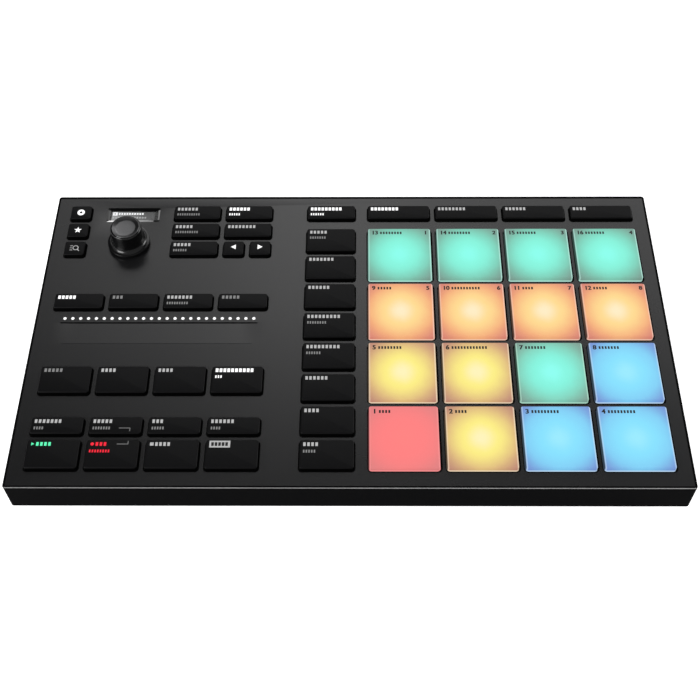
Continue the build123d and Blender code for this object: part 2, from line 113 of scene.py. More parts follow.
class Graph:
    """A node tree that is being wired. Every input is a value or the socket of another node."""

    def __init__(self, tree: NodeTree) -> None:
        """Keep the tree."""
        self.tree = tree

    def node(self, kind: str, inputs: Inputs | None = None, **settings: object) -> Node:
        """Add a node.

        Args:
            kind: Blender's node type.
            inputs: Values or sockets for its inputs, by name or number.
            settings: Values for its own properties.

        Returns:
            The node.
        """
        made = self.tree.nodes.new(kind)
        for name, value in settings.items():
            setattr(made, name, value)
        for key, value in (inputs or {}).items():
            if isinstance(value, NodeSocket):
                self.tree.links.new(value, made.inputs[key])
            else:
                made.inputs[key].default_value = value
        return made

    def value(self, operation: str, a: object, b: object = 0.0) -> NodeSocket:
        """Result of one sum on two numbers."""
        return self.node("ShaderNodeMath", {0: a, 1: b}, operation=operation).outputs[0]

    def plus(self, a: object, b: object) -> NodeSocket:
        """Sum of two numbers."""
        return self.value("ADD", a, b)

    def minus(self, a: object, b: object) -> NodeSocket:
        """Difference of two numbers."""
        return self.value("SUBTRACT", a, b)

    def times(self, a: object, b: object) -> NodeSocket:
        """Product of two numbers."""
        return self.value("MULTIPLY", a, b)

    def largest(self, first: object, *others: object) -> object:
        """Largest of several numbers.

        Args:
            first: A number or an output.
            *others: The other ones.

        Returns:
            The largest.
        """
        for other in others:
            first = self.value("MAXIMUM", first, other)
        return first

    def blend(self, share: object, a: object, b: object, how: str = "MIX") -> NodeSocket:
        """Mix of two colours by a share."""
        return self.node("ShaderNodeMix", {0: share, 6: a, 7: b}, data_type="RGBA", blend_type=how).outputs[2]

    def tinted(self, colour: object, shade: object) -> NodeSocket:
        """Colour multiplied by a number or by another colour."""
        return self.blend(1.0, colour, shade, "MULTIPLY")

    def span(self, value: object, ends: Point, way: str = "LINEAR") -> NodeSocket:
        """Value carried from the range of the first two ends to that of the last two."""
        inputs = {0: value, **dict(enumerate(ends, 1))}
        return self.node("ShaderNodeMapRange", inputs, interpolation_type=way).outputs[0]

    def step(self, value: object, low: float, high: float) -> NodeSocket:
        """Smooth step of a value from 0 at low to 1 at high."""
        return self.span(value, (low, high, 0.0, 1.0), "SMOOTHSTEP")

    def place(self, kind: str = "Object") -> NodeSocket:
        """Place in the object, or on its map where kind is UV."""
        return self.node("ShaderNodeTexCoord").outputs[kind]

    def axes(self, place: NodeSocket) -> list[NodeSocket]:
        """X, Y and Z of a place."""
        return list(self.node("ShaderNodeSeparateXYZ", {0: place}).outputs)

    def noise(self, place: NodeSocket, scale: object, detail: float, roughness: float = 0.5) -> NodeSocket:
        """Cloudy noise about a half."""
        inputs = {"Vector": place, "Scale": scale, "Detail": detail, "Roughness": roughness}
        return self.node("ShaderNodeTexNoise", inputs).outputs[0]

    def bump(self, height: NodeSocket, strength: float, depth: float) -> NodeSocket:
        """Normal of a bumpy surface, its depth in millimetres."""
        inputs = {"Strength": strength, "Distance": depth * MM, "Height": height}
        return self.node("ShaderNodeBump", inputs).outputs[0]


def new_group(name: str, inputs: dict[str, str], outputs: dict[str, str]) -> Graph:
    """Start a shader node group.

    Args:
        name: Name of the group.
        inputs: Kind of each input by its name, Float or Color.
        outputs: The same for each output.

    Returns:
        The graph of the group, without its nodes.
    """
    tree = bpy.data.node_groups.new(name, "ShaderNodeTree")
    for ends, way in ((inputs, "INPUT"), (outputs, "OUTPUT")):
        for label, kind in ends.items():
            tree.interface.new_socket(label, in_out=way, socket_type=f"NodeSocket{kind}")
    return Graph(tree)


@cache
def grain_group() -> NodeTree:
    """Group for a moulded or brushed surface: fine grain, slow change of tone and of gloss.

    Returns:
        The node group.
    """
    numbers = dict.fromkeys(("Scale", "Tone", "Roughness", "Spread"), "Float")
    results = {"Colour": "Color", "Roughness": "Float", "Height": "Float"}
    g = new_group("moulded_grain", {"Colour": "Color", **numbers}, results)
    start = g.node("NodeGroupInput").outputs
    place = g.place()
    fine = g.noise(place, start["Scale"], 3.0)
    pits = g.node("ShaderNodeTexVoronoi", {"Vector": place, "Scale": g.times(start["Scale"], 1.7)}).outputs[0]
    slow = g.minus(g.noise(place, 9.0, 4.0, 0.6), 0.5)
    near = g.times(g.minus(fine, 0.5), 0.7)
    shade = g.plus(g.times(g.plus(slow, near), start["Tone"]), 1.0)
    results = {
        "Colour": g.tinted(start["Colour"], shade),
        "Roughness": g.plus(start["Roughness"], g.times(slow, start["Spread"])),
        "Height": g.plus(fine, g.times(pits, 0.6)),
    }
    g.node("NodeGroupOutput", results)
    return g.tree


# Tones of a lit pad; Rim is the colour of a painted highlight along its rim.
TONES = ("Centre", "Middle", "Edge", "Corner", "Rim")


@cache
def glow_group() -> NodeTree:
    """Group for a pad lit from below: bright in the middle, deeper towards its edges, with a painted
    highlight along its rim and painted shade on its left flank.

    Returns:
        The node group.
    """
    centre_x, centre_y, mottle = 0.5, 0.48, 0.06
    steps = ((0.02, 0.27), (0.22, 0.55), (0.44, 0.69))
    highlight_share, flank_shade_share = 0.75, 0.9
    g = new_group("pad_glow", dict.fromkeys(TONES, "Color"), {"Colour": "Color"})
    start = g.node("NodeGroupInput").outputs
    local = g.place("UV")
    across, along, _ = g.axes(local)
    x, y = g.minus(across, centre_x), g.minus(along, centre_y)
    sway = g.times(g.minus(g.noise(local, 5.0, 3.0), 0.5), mottle)
    reach = g.plus(g.value("SQRT", g.plus(g.times(x, x), g.times(y, y))), sway)
    colour = start[TONES[0]]
    for tone, (low, high) in zip(TONES[1:], steps):
        colour = g.blend(g.step(reach, low, high), colour, start[tone])
    height = g.axes(g.place())[2]
    # Painted highlight along the front, left and right rims, then painted shade on the left flank.
    front = g.times(g.step(height, 32.3 * MM, 31.7 * MM), g.step(along, 0.03, 0.01))
    left = g.times(g.step(across, 0.031, 0.018), 0.6)
    right = g.times(g.step(across, 0.972, 0.988), 0.8)
    colour = g.blend(g.times(g.largest(front, left, right), highlight_share), colour, start["Rim"])
    colour = g.blend(g.times(g.step(across, 0.014, 0.0), flank_shade_share), colour, grey(0.0))
    g.node("NodeGroupOutput", {"Colour": colour})
    return g.tree


# ---- finishes ----


@dataclass(frozen=True)
class Finish:
    """Finish of a surface, which each kind of finish wires in its own way."""

    name: str

    def make(self) -> Material:
        """Make the material.

        Returns:
            The material, its Principled shader fed by the finish.
        """
        made = bpy.data.materials.new(self.name)
        made.use_nodes = True
        made.node_tree.nodes.clear()
        g = Graph(made.node_tree)
        shader = g.node("ShaderNodeBsdfPrincipled", self.inputs(g))
        g.node("ShaderNodeOutputMaterial", {"Surface": shader.outputs[0]})
        return made

    def inputs(self, g: Graph) -> Inputs:
        """Values and sockets for the inputs of the Principled shader."""
        raise NotImplementedError


@dataclass(frozen=True)
class Moulded(Finish):
    """Moulded, painted or brushed surface with a fine grain."""

    colour: str
    roughness: float
    specular: float = 0.5
    metallic: float = 0.0
    scale: float = 900.0
    depth: float = 0.01
    tone: float = 0.25
    spread: float = 0.12

    def inputs(self, g: Graph) -> Inputs:
        """Inputs with the grain group in front of them.

        Args:
            g: Graph of the material.

        Returns:
            Input values by name.
        """
        values = {"Colour": tint(self.colour), "Scale": self.scale, "Tone": self.tone}
        values |= {"Roughness": self.roughness, "Spread": self.spread}
        grain = g.node("ShaderNodeGroup", values, node_tree=grain_group()).outputs
        return {
            "Base Color": grain["Colour"], "Roughness": grain["Roughness"], "Metallic": self.metallic,
            "Specular IOR Level": self.specular, "Normal": g.bump(grain["Height"], 0.5, self.depth),
        }  # fmt: skip


@dataclass(frozen=True)
class Lit(Finish):
    """Small surface that gives light, such as a legend or a lens."""

    colour: str
    strength: float = 1.0
    body: float = 0.35

    def inputs(self, g: Graph) -> Inputs:
        """Inputs of a surface that shines evenly but for a faint unevenness of its ink.

        Args:
            g: Graph of the material.

        Returns:
            Input values by name.
        """
        inked = g.tinted(tint(self.colour), g.span(g.noise(g.place(), 700.0, 2.0), (0.3, 0.7, 0.86, 1.0)))
        return {
            "Emission Color": inked, "Emission Strength": self.strength,
            "Base Color": g.tinted(inked, grey(self.body)), "Roughness": 0.5,
        }  # fmt: skip


@dataclass(frozen=True)
class PadLight(Finish):
    """Translucent silicone over a coloured lamp."""

    centre: str
    middle: str
    edge: str
    corner: str
    # Colour of the painted highlight along the pad's rim.
    rim: str

    def inputs(self, g: Graph) -> Inputs:
        """Inputs of a surface that glows by the pad's own UV map.

        Args:
            g: Graph of the material.

        Returns:
            Input values by name.
        """
        tones = {tone: tint(getattr(self, tone.lower())) for tone in TONES}
        glow = g.node("ShaderNodeGroup", tones, node_tree=glow_group()).outputs[0]
        return {
            "Emission Color": glow, "Emission Strength": 0.82, "Base Color": g.tinted(glow, grey(0.22)),
            "Roughness": 0.55, "Specular IOR Level": 0.3,
            "Normal": g.bump(g.noise(g.place(), 1400.0, 2.0), 0.3, 0.01),
        }  # fmt: skip


@dataclass(frozen=True)
class Circuit(Finish):
    """Printed board: dark lacquer with copper runs under it."""

    lacquer: str
    copper: str

    def inputs(self, g: Graph) -> Inputs:
        """Inputs with square runs from a brick pattern, hidden in places.

        Args:
            g: Graph of the material.

        Returns:
            Input values by name.
        """
        place, lacquer = g.place(), tint(self.lacquer)
        pattern = {"Vector": place, "Color1": lacquer, "Color2": lacquer, "Mortar": tint(self.copper)}
        pattern |= {"Scale": 120.0, "Mortar Size": 0.03, "Bias": -0.5}
        runs = g.node("ShaderNodeTexBrick", pattern, offset=0.37, squash=0.6, squash_frequency=3).outputs
        board = g.blend(g.step(g.noise(place, 60.0, 3.0), 0.35, 0.6), lacquer, runs[0])
        return {"Base Color": board, "Roughness": 0.35, "Normal": g.bump(runs[1], 0.4, 0.03)}


@dataclass(frozen=True)
class Clear(Finish):
    """Clear window, faintly smoked."""

    colour: str

    def inputs(self, g: Graph) -> Inputs:
        """Inputs of glass with faint wipe marks in its gloss."""
        gloss = g.span(g.noise(g.place(), 180.0, 4.0), (0.3, 0.7, 0.03, 0.1))
        return {"Base Color": tint(self.colour), "Roughness": gloss, "Transmission Weight": 1.0, "IOR": 1.46}


@dataclass(frozen=True)
class Backlight(Finish):
    """Surface giving light that falls off from its left end, over fine lines: the display's picture ground,
    and the painted highlights and shade on the slopes of its mouth.
    """

    bright: str
    dark: str
    lines: float = 64.0

    def inputs(self, g: Graph) -> Inputs:
        """Inputs of a surface whose light falls off along the piece's UV map.

        Args:
            g: Graph of the material.

        Returns:
            Input values by name.
        """
        across, along, _ = g.axes(g.place("UV"))
        fall = g.step(g.plus(across, g.times(along, 0.15)), 0.0, 1.0)
        wave = g.value("SINE", g.times(across, math.tau * self.lines))
        even = g.blend(fall, tint(self.bright), tint(self.dark))
        lined = g.tinted(even, g.span(wave, (-1.0, 1.0, 0.88, 1.0)))
        body = tint("101010")
        return {"Emission Color": lined, "Emission Strength": 1.0, "Base Color": body, "Roughness": 0.3}


@dataclass(frozen=True)
class Paper(Finish):
    """Pale floor paper that keeps the shadow and shows near white, also in glass and gloss."""

    seen: float = 0.85
    echoed: float = 0.5

    def inputs(self, g: Graph) -> Inputs:
        """Inputs that lift the paper for the eye alone.

        Args:
            g: Graph of the material.

        Returns:
            Input values by name.
        """
        path = g.node("ShaderNodeLightPath").outputs
        echo = g.times(g.largest(path["Is Glossy Ray"], path["Is Transmission Ray"]), self.echoed)
        lift = g.plus(g.times(path["Is Camera Ray"], self.seen), echo)
        return {
            "Base Color": tint("f4f4f4"), "Roughness": 0.9, "Specular IOR Level": 0.1,
            "Emission Color": grey(1.0), "Emission Strength": lift,
        }  # fmt: skip


class PadColour(Enum):
    """Colour in which a pad is lit."""

    # The last colour of each is a painted highlight along the pad's rim.
    MINT = PadLight("pad_mint", "8affec", "85f4dc", "7cc8b2", "7a9c90", "c8fff2")
    ORANGE = PadLight("pad_orange", "ffecc4", "ffda90", "f4ac7a", "d88474", "ffd9c4")
    YELLOW = PadLight("pad_yellow", "fff3ba", "fdee84", "dfba7e", "be8a76", "ffeccc")
    GREEN = PadLight("pad_green", "8cfff0", "84f4de", "82ceb8", "7e9e92", "c0f4dc")
    BLUE = PadLight("pad_blue", "99eaff", "86e1ff", "80ccf4", "7696d6", "cfeaff")
    CORAL = PadLight("pad_coral", "ff8180", "ff8080", "f48080", "e08080", "ff9a9a")


class Ink(Enum):
    """Colour and brightness in which a legend shows."""

    BRIGHT = Lit("legend_bright", "ffffff", 1.0)
    WHITE = Lit("legend_white", "d8d8d8", 0.5, 0.3)
    DIM = Lit("legend_dim", "b0b0b0", 0.3, 0.3)
    GREEN = Lit("legend_green", "58f0b0", 0.95)
    RED = Lit("legend_red", "f01830", 0.95)
    DARK = Lit("legend_dark", "0a0908", 0.0, 1.0)


class Skin(Enum):
    """Finish of everything but pads and legends."""

    PANEL = Moulded("panel_paint", "161617", 0.27, scale=1500.0, depth=0.004, spread=0.04)
    # Painted shade: walls, rim bands and edges darker than the panel.
    WALL = Moulded("painted_shade_on_walls", "0a0a0b", 0.5, 0.005, scale=1500.0, depth=0.012)
    # Painted highlight along the front bevel.
    RUBBED = Moulded("painted_bevel_highlight", "9a9a9a", 0.4, scale=1500.0, depth=0.012, tone=1.4)
    TRAY = Moulded("tray_plastic", "111112", 0.62, 0.12, scale=700.0, depth=0.05)
    CAP = Moulded("cap_plastic", "0f0f10", 0.45, 0.1, scale=1600.0, depth=0.006)
    # Painted shade on the caps' sides and round the openings.
    FLANK = Moulded("painted_shade_on_flanks", "050505", 0.5, 0.03, scale=1600.0, depth=0.006)
    KNOB = Moulded("knob_gloss", "0a0a0b", 0.2, scale=600.0, depth=0.001, spread=0.05)
    DISC = Moulded("knob_disc", "626263", 0.3, metallic=1.0, scale=1200.0, depth=0.003, spread=0.05)
    RUBBER = Moulded("foot_rubber", "0d0d0d", 0.85, 0.25, scale=500.0, depth=0.06)
    SCREW = Moulded("screw_steel", "5c5c60", 0.35, metallic=1.0, depth=0.006)
    PLATE = Moulded("plate_steel", "8e9094", 0.4, metallic=1.0, scale=300.0)
    SOCKET = Moulded("socket_steel", "b4b6ba", 0.28, metallic=1.0, scale=800.0, depth=0.004)
    BRASS = Moulded("encoder_brass", "9a8c6a", 0.35, metallic=1.0, scale=700.0, depth=0.004)
    CONTACT = Moulded("contact_gold", "d8b25a", 0.25, metallic=1.0, depth=0.002)
    BLACK = Moulded("inner_black", "0e0e0f", 0.5, 0.4, scale=800.0)
    TONGUE = Moulded("socket_tongue", "202022", 0.55, 0.4)
    FILM = Moulded("sensor_film", "a88442", 0.4, scale=400.0, depth=0.004)
    RIBBON = Moulded("ribbon_plastic", "c8c4b8", 0.5, 0.4, scale=400.0)
    SILICONE = Moulded("pad_silicone", "d0d0cb", 0.6, 0.3)
    MOUTH = Moulded("display_frame", "050505", 0.15, 0.08, scale=800.0, depth=0.001, spread=0.04)
    BOARD = Circuit("circuit_board", "0c3a22", "3c7a4a")
    WINDOW = Clear("display_window", "e8eaec")
    GUIDE = Lit("light_guide", "ffffff")
    BACKLIGHT = Backlight("display_backlight", "949494", "3a3a3a")
    # Painted highlights and shade on the slopes of the display's mouth.
    GLINT = Backlight("display_glint", "ffffff", "808080", 12.0)
    GLINT_LEFT = Backlight("display_glint_left", "101010", "444444", 2.0)
    GLINT_RIGHT = Backlight("display_glint_right", "101010", "8c8c8c", 2.0)
    FLOOR = Paper("floor_paper")


@cache
def material(look: Enum) -> Material:
    """Material of a finish, made when it is first asked for."""
    return look.value.make()


# ---- modelling tools ----


def only(obj: Object) -> None:
    """Select one object alone and make it active.

    Args:
        obj: The object.
    """
    bpy.ops.object.select_all(action="DESELECT")
    obj.select_set(True)
    bpy.context.view_layer.objects.active = obj


@contextmanager
def editing(obj: Object, kind: str) -> Iterator[None]:
    """Edit mode on one object with nothing selected.

    Args:
        obj: The object.
        kind: VERT, EDGE or FACE, what is picked in it.

    Yields:
        Once, in edit mode.
    """
    only(obj)
    bpy.ops.object.mode_set(mode="EDIT")
    bpy.ops.mesh.select_mode(type=kind)
    bpy.ops.mesh.select_all(action="DESELECT")
    yield
    bpy.ops.object.mode_set(mode="OBJECT")


def pick_edges(obj: Object, test: Test) -> None:
    """Select, in edit mode, only the edges whose two ends pass the test.

    Args:
        obj: Object that is in edit mode.
        test: Tells from an edge's two ends whether it is picked.
    """
    shape = bmesh.from_edit_mesh(obj.data)
    for edge in shape.edges:
        edge.select_set(test(edge.verts[0].co, edge.verts[1].co))
    bmesh.update_edit_mesh(obj.data)


def extrude(x: float, y: float, z: float) -> None:
    """Extrude what is selected by a move."""
    bpy.ops.mesh.extrude_region_move(TRANSFORM_OT_translate={"value": (x, y, z)})


def merge() -> None:
    """Merge, in edit mode, the doubled points of the whole mesh."""
    bpy.ops.mesh.select_all(action="SELECT")
    bpy.ops.mesh.remove_doubles(threshold=HAIR / 10)


def smooth(obj: Object, degrees: float = 35.0) -> None:
    """Shade smooth but for edges sharper than the angle."""
    only(obj)
    bpy.ops.object.shade_smooth_by_angle(angle=math.radians(degrees))


def dress(obj: Object, look: Enum) -> None:
    """Give an object one finish in all its slots.

    Args:
        obj: The object.
        look: The finish.
    """
    if not obj.material_slots:
        obj.data.materials.append(material(look))
    for place in obj.material_slots:
        place.material = material(look)


def paint(obj: Object, looks: Sequence[Enum], choose: Callable[[Vector, Vector], Enum]) -> None:
    """Give each face of an object the finish that is chosen by its middle and normal.

    Args:
        obj: The object.
        looks: The finishes there are to choose from.
        choose: Gives the finish for a face's middle and normal.
    """
    obj.data.materials.clear()
    for look in looks:
        obj.data.materials.append(material(look))
    for face in obj.data.polygons:
        face.material_index = looks.index(choose(face.center, face.normal))


def settle(obj: Object, name: str) -> Object:
    """Name an object and take its place, turn and scale into its mesh.

    Args:
        obj: The object.
        name: Its new name.

    Returns:
        The same object, at the origin.
    """
    only(obj)
    bpy.ops.object.transform_apply(location=True, rotation=True, scale=True)
    obj.name = obj.data.name = name
    return obj


def copy_to(source: Object, name: str, x: float, y: float) -> Object:
    """Copy an object with its own mesh, moved in the mesh.

    Args:
        source: The object.
        name: Name of the copy.
        x: Move along the width.
        y: Move along the depth.

    Returns:
        The copy.
    """
    made = source.copy()
    made.data = source.data.copy()
    bpy.context.scene.collection.objects.link(made)
    for v in made.data.vertices:
        v.co.x += x
        v.co.y += y
    made.name = made.data.name = name
    return made


def join(parts: Sequence[Object], name: str) -> Object:
    """Join several objects into the first.

    Args:
        parts: The objects.
        name: Name of the joined object.

    Returns:
        The joined object.
    """
    bpy.ops.object.select_all(action="DESELECT")
    for part in parts:
        part.select_set(True)
    bpy.context.view_layer.objects.active = parts[0]
    bpy.ops.object.join()
    parts[0].name = parts[0].data.name = name
    return parts[0]


def block(name: str, low: Point, high: Point) -> Object:
    """Block between two corners, to be shaped further.

    Args:
        name: Name of the block.
        low: Its lowest corner.
        high: Its highest corner.

    Returns:
        The block.
    """
    centre = [(a + b) / 2 for a, b in zip(low, high)]
    bpy.ops.mesh.primitive_cube_add(size=1.0, location=centre)
    made = bpy.context.active_object
    made.scale = [b - a for a, b in zip(low, high)]
    return settle(made, name)


def soften(obj: Object, radius: float, segments: int, test: Test) -> None:
    """Round the edges whose two ends pass the test.

    Args:
        obj: The object.
        radius: Radius of the rounding.
        segments: Faces across it.
        test: Tells from an edge's two ends whether it is rounded.
    """
    with editing(obj, "EDGE"):
        pick_edges(obj, test)
        bpy.ops.mesh.bevel(offset=radius, segments=segments, affect="EDGES")


@dataclass(frozen=True)
class SoftBlock:
    """Block about the origin with round upright edges and a round top edge, stepped on its underside."""

    width: float
    depth: float
    bottom: float
    top: float
    corner: Rounding
    edge: Rounding

    def build(self, name: str, steps: Sequence[tuple[float, float, float]]) -> Object:
        """Make the block.

        Args:
            name: Name of the block.
            steps: For each level step of the underside, the width and depth that it is bordered to and the
                height that it is then carried to.

        Returns:
            The block.
        """
        w, d, z = self.width, self.depth, self.bottom
        made = block(name, (-w / 2, -d / 2, z), (w / 2, d / 2, self.top))
        soften(made, *self.corner, lambda a, b: abs(a.z - b.z) > 10 * HAIR)
        soften(made, *self.edge, lambda a, b: min(a.z, b.z) > self.top - HAIR)
        with editing(made, "FACE"):
            shape = bmesh.from_edit_mesh(made.data)
            for face in shape.faces:
                if face.normal.z < -0.9:
                    face.select_set(True)
            bmesh.update_edit_mesh(made.data)
            for width, depth, height in steps:
                extrude(0, 0, 0)
                bpy.ops.transform.resize(value=(width / w, depth / d, 1))
                extrude(0, 0, height - z)
                w, d, z = width, depth, height
        return made


def turned(name: str, profile: Sequence[tuple[float, float]], x: float, y: float, steps: int = 96) -> Object:
    """Turn a profile about an upright axis.

    Args:
        name: Name of the piece.
        profile: Radius and height of each point, from the axis round to the axis.
        x: Place of the axis.
        y: Place of the axis.
        steps: Faces round the axis.

    Returns:
        The turned piece.
    """
    bpy.ops.mesh.primitive_plane_add(size=MM)
    made = bpy.context.active_object
    with editing(made, "VERT"):
        bpy.ops.mesh.select_all(action="SELECT")
        bpy.ops.mesh.merge(type="CENTER")
        bpy.ops.transform.translate(value=(profile[0][0], 0, profile[0][1]))
        for (r0, z0), (r1, z1) in zip(profile, profile[1:]):
            extrude(r1 - r0, 0, z1 - z0)
        bpy.ops.mesh.select_all(action="SELECT")
        bpy.ops.mesh.spin(steps=steps, angle=math.tau, center=(0, 0, 0), axis=(0, 0, 1))
        merge()
        bpy.ops.mesh.normals_make_consistent(inside=False)
    made.location = (x, y, 0)
    return settle(made, name)


def map_plan(obj: Object, low: Point, high: Point) -> None:
    """Lay the UV map over the plan, from 0 at the low corner to 1 at the high one.

    Args:
        obj: The object.
        low: Corner with the UV values 0.
        high: Corner with the UV values 1.
    """
    chart = obj.data.uv_layers.active or obj.data.uv_layers.new(name="UVMap")
    for loop in obj.data.loops:
        place = obj.data.vertices[loop.vertex_index].co
        chart.data[loop.index].uv = [(place[i] - low[i]) / (high[i] - low[i]) for i in (0, 1)]


def printed(drawn: Object, name: str, place: Point, look: Enum) -> Object:
    """Make a curve or a text a closed mesh a hair thick.

    Args:
        drawn: The curve or text.
        name: Name of the piece.
        place: Where its origin goes, its underside at that height.
        look: Its finish.

    Returns:
        The piece.
    """
    only(drawn)
    bpy.ops.object.convert(target="MESH")
    made = bpy.context.active_object
    with editing(made, "VERT"):
        merge()
        bpy.ops.mesh.normals_make_consistent(inside=False)
    made.location = (place[0], place[1], place[2] + HAIR / 2)
    dress(made, look)
    return settle(made, name)


def flat_shape(name: str, loops: Sequence[Loop], z: float, look: Enum) -> Object:
    """Flat printed shape.

    Args:
        name: Name of the shape.
        loops: Points of each closed outline, an inner one being a hole.
        z: Height of its underside.
        look: Its finish.

    Returns:
        The shape as a mesh a hair thick.
    """
    curve = bpy.data.curves.new(name, "CURVE")
    curve.dimensions = "2D"
    curve.fill_mode = "BOTH"
    curve.extrude = HAIR / 2
    for points in loops:
        line = curve.splines.new("POLY")
        line.points.add(len(points) - 1)
        for knot, (x, y) in zip(line.points, points):
            knot.co = (x, y, 0, 1)
        line.use_cyclic_u = True
    made = bpy.data.objects.new(name, curve)
    bpy.context.scene.collection.objects.link(made)
    return printed(made, name, (0, 0, z), look)


def figure(number: int, height: float, place: Point) -> Object:
    """Plain dark number printed flat, its left end and middle height at a place.

    Args:
        number: The number.
        height: Height of its digits.
        place: Its left end, middle height and underside.

    Returns:
        The number as a mesh.
    """
    type_size, type_weight = 1.38, 0.03
    bpy.ops.object.text_add()
    drawn = bpy.context.active_object
    drawn.data.body = str(number)
    drawn.data.size = height * type_size
    drawn.data.offset = height * type_weight
    drawn.data.align_y = "CENTER"
    drawn.data.extrude = HAIR / 2
    return printed(drawn, "number", place, Ink.DARK)


def ring(x: float, y: float, *radii: float, points: int = 28, start: float = 0.0) -> Loop:
    """Outline round a place, its points taking the radii in turn.

    Args:
        x: Place of the middle.
        y: Place of the middle.
        *radii: Radii that the points take in turn.
        points: Number of points.
        start: Turn of the first point.

    Returns:
        The outline.
    """
    turns = [start + math.tau * i / points for i in range(points)]
    reach = [radii[i % len(radii)] for i in range(points)]
    return [(x + r * math.cos(turn), y + r * math.sin(turn)) for r, turn in zip(reach, turns)]


def bar(x: float, y: float, width: float, height: float) -> Loop:
    """Upright rectangle as an outline, its left end at x and its middle height at y."""
    right, half = x + width, height / 2
    return [(x, y - half), (right, y - half), (right, y + half), (x, y + half)]


def rounded(low: Point, high: Point, radius: float, points: int = 6) -> Loop:
    """Rectangle with round corners as an outline.

    Args:
        low: Its left front corner.
        high: Its right rear corner.
        radius: Radius of its corners.
        points: Steps round each corner.

    Returns:
        The outline, from the right rear corner leftwards.
    """
    outline = []
    for index in range(4):
        x = low[0] + radius if index in (1, 2) else high[0] - radius
        y = low[1] + radius if index > 1 else high[1] - radius
        for i in range(points + 1):
            turn = math.pi / 2 * (index + i / points)
            outline.append((x + radius * math.cos(turn), y + radius * math.sin(turn)))
    return outline


# ---- marks ----


@dataclass(frozen=True)
class Strokes:
    """Row of upright strokes in the place of a word."""

    pitch: float
    width: float
    height: float

    def loops(self, x: float, y: float, count: int, wider: float = 0.0) -> list[Loop]:
        """Outlines of the row, its left end at x and its middle height at y."""
        return [bar(x + i * self.pitch, y, self.width + wider, self.height + wider) for i in range(count)]


class Symbol(Enum):
    """Common sign on a button, as closed outlines about the origin with a half height of one."""

    PLAY = [[(-0.8, -1.0), (0.9, 0.0), (-0.8, 1.0)]]
    RIGHT = PLAY
    LEFT = [[(0.8, -1.0), (0.8, 1.0), (-0.9, 0.0)]]
    RECORD = [ring(0, 0, 1.0)]
    STOP = [bar(-1.0, 0, 2.0, 2.0)]
    STAR = [ring(0, 0, 1.06, 0.45, points=10, start=math.pi / 2)]
    WHEEL = [ring(0, 0, 1.0), ring(0, 0, 0.36)]
    SEARCH = [
        ring(0.25, 0.1, 0.78), ring(0.25, 0.1, 0.58),
        [(0.72, -0.54), (0.88, -0.38), (1.32, -0.82), (1.16, -0.98)],
        bar(-1.25, 0.75, 0.7, 0.17), bar(-1.25, 0.05, 0.5, 0.17), bar(-1.25, -0.65, 0.7, 0.17),
    ]  # fmt: skip

    def loops(self, size: float, x: float, y: float) -> list[Loop]:
        """Outlines of the sign at a height and place."""
        return [[(x + px * size / 2, y + py * size / 2) for px, py in loop] for loop in self.value]


@dataclass(frozen=True)
class Legend:
    """Marks on one cap: a sign, a row of strokes, a lighter row below it, a tie to the next cap, a plate."""

    strokes: int = 0
    lighter: int = 0
    ink: Ink = Ink.WHITE
    second: Ink = Ink.DIM
    symbol: Symbol | None = None
    bracket: int = 0
    boxed: bool = False


LEGENDS: dict[str, Legend] = {
    "play": Legend(4, ink=Ink.GREEN, symbol=Symbol.PLAY),
    "record": Legend(3, 8, Ink.RED, Ink.RED, Symbol.RECORD, bracket=1),
    "stop": Legend(4, symbol=Symbol.STOP),
    "shift": Legend(5, ink=Ink.DARK, boxed=True),
    "restart": Legend(7, 4),
    "erase": Legend(5, 7, bracket=-1),
    "tap": Legend(3, 5),
    "follow": Legend(6, 4),
    "group": Legend(5, ink=Ink.DIM),
    "auto": Legend(4),
    "lock": Legend(4),
    "note_repeat": Legend(10, 3, Ink.BRIGHT, Ink.BRIGHT),
    "pitch": Legend(5, ink=Ink.BRIGHT),
    "mod": Legend(3, ink=Ink.DIM),
    "perform": Legend(7, 9),
    "notes": Legend(5, ink=Ink.DIM),
    "search": Legend(symbol=Symbol.SEARCH),
    "favourite": Legend(ink=Ink.BRIGHT, symbol=Symbol.STAR),
    "menu": Legend(ink=Ink.BRIGHT, symbol=Symbol.WHEEL),
    "tempo": Legend(5, 6),
    "swing": Legend(5, 10),
    "volume": Legend(6, 10),
    "sampling": Legend(8),
    "plugin": Legend(6, 5, Ink.BRIGHT, Ink.BRIGHT),
    "left": Legend(ink=Ink.BRIGHT, symbol=Symbol.LEFT),
    "right": Legend(ink=Ink.BRIGHT, symbol=Symbol.RIGHT),
    "mute": Legend(4, 5),
    "solo": Legend(4),
    "select": Legend(6),
    "duplicate": Legend(9, 6),
    "variation": Legend(9, 8),
    "events": Legend(6),
    "pattern": Legend(7),
    "scene": Legend(5, 7),
    "fixed_velocity": Legend(9, 6, Ink.BRIGHT, Ink.BRIGHT),
    "pad_mode": Legend(8, ink=Ink.BRIGHT),
    "keyboard": Legend(8),
    "chords": Legend(6),
    "step": Legend(4),
}


# ---- sub-assemblies ----


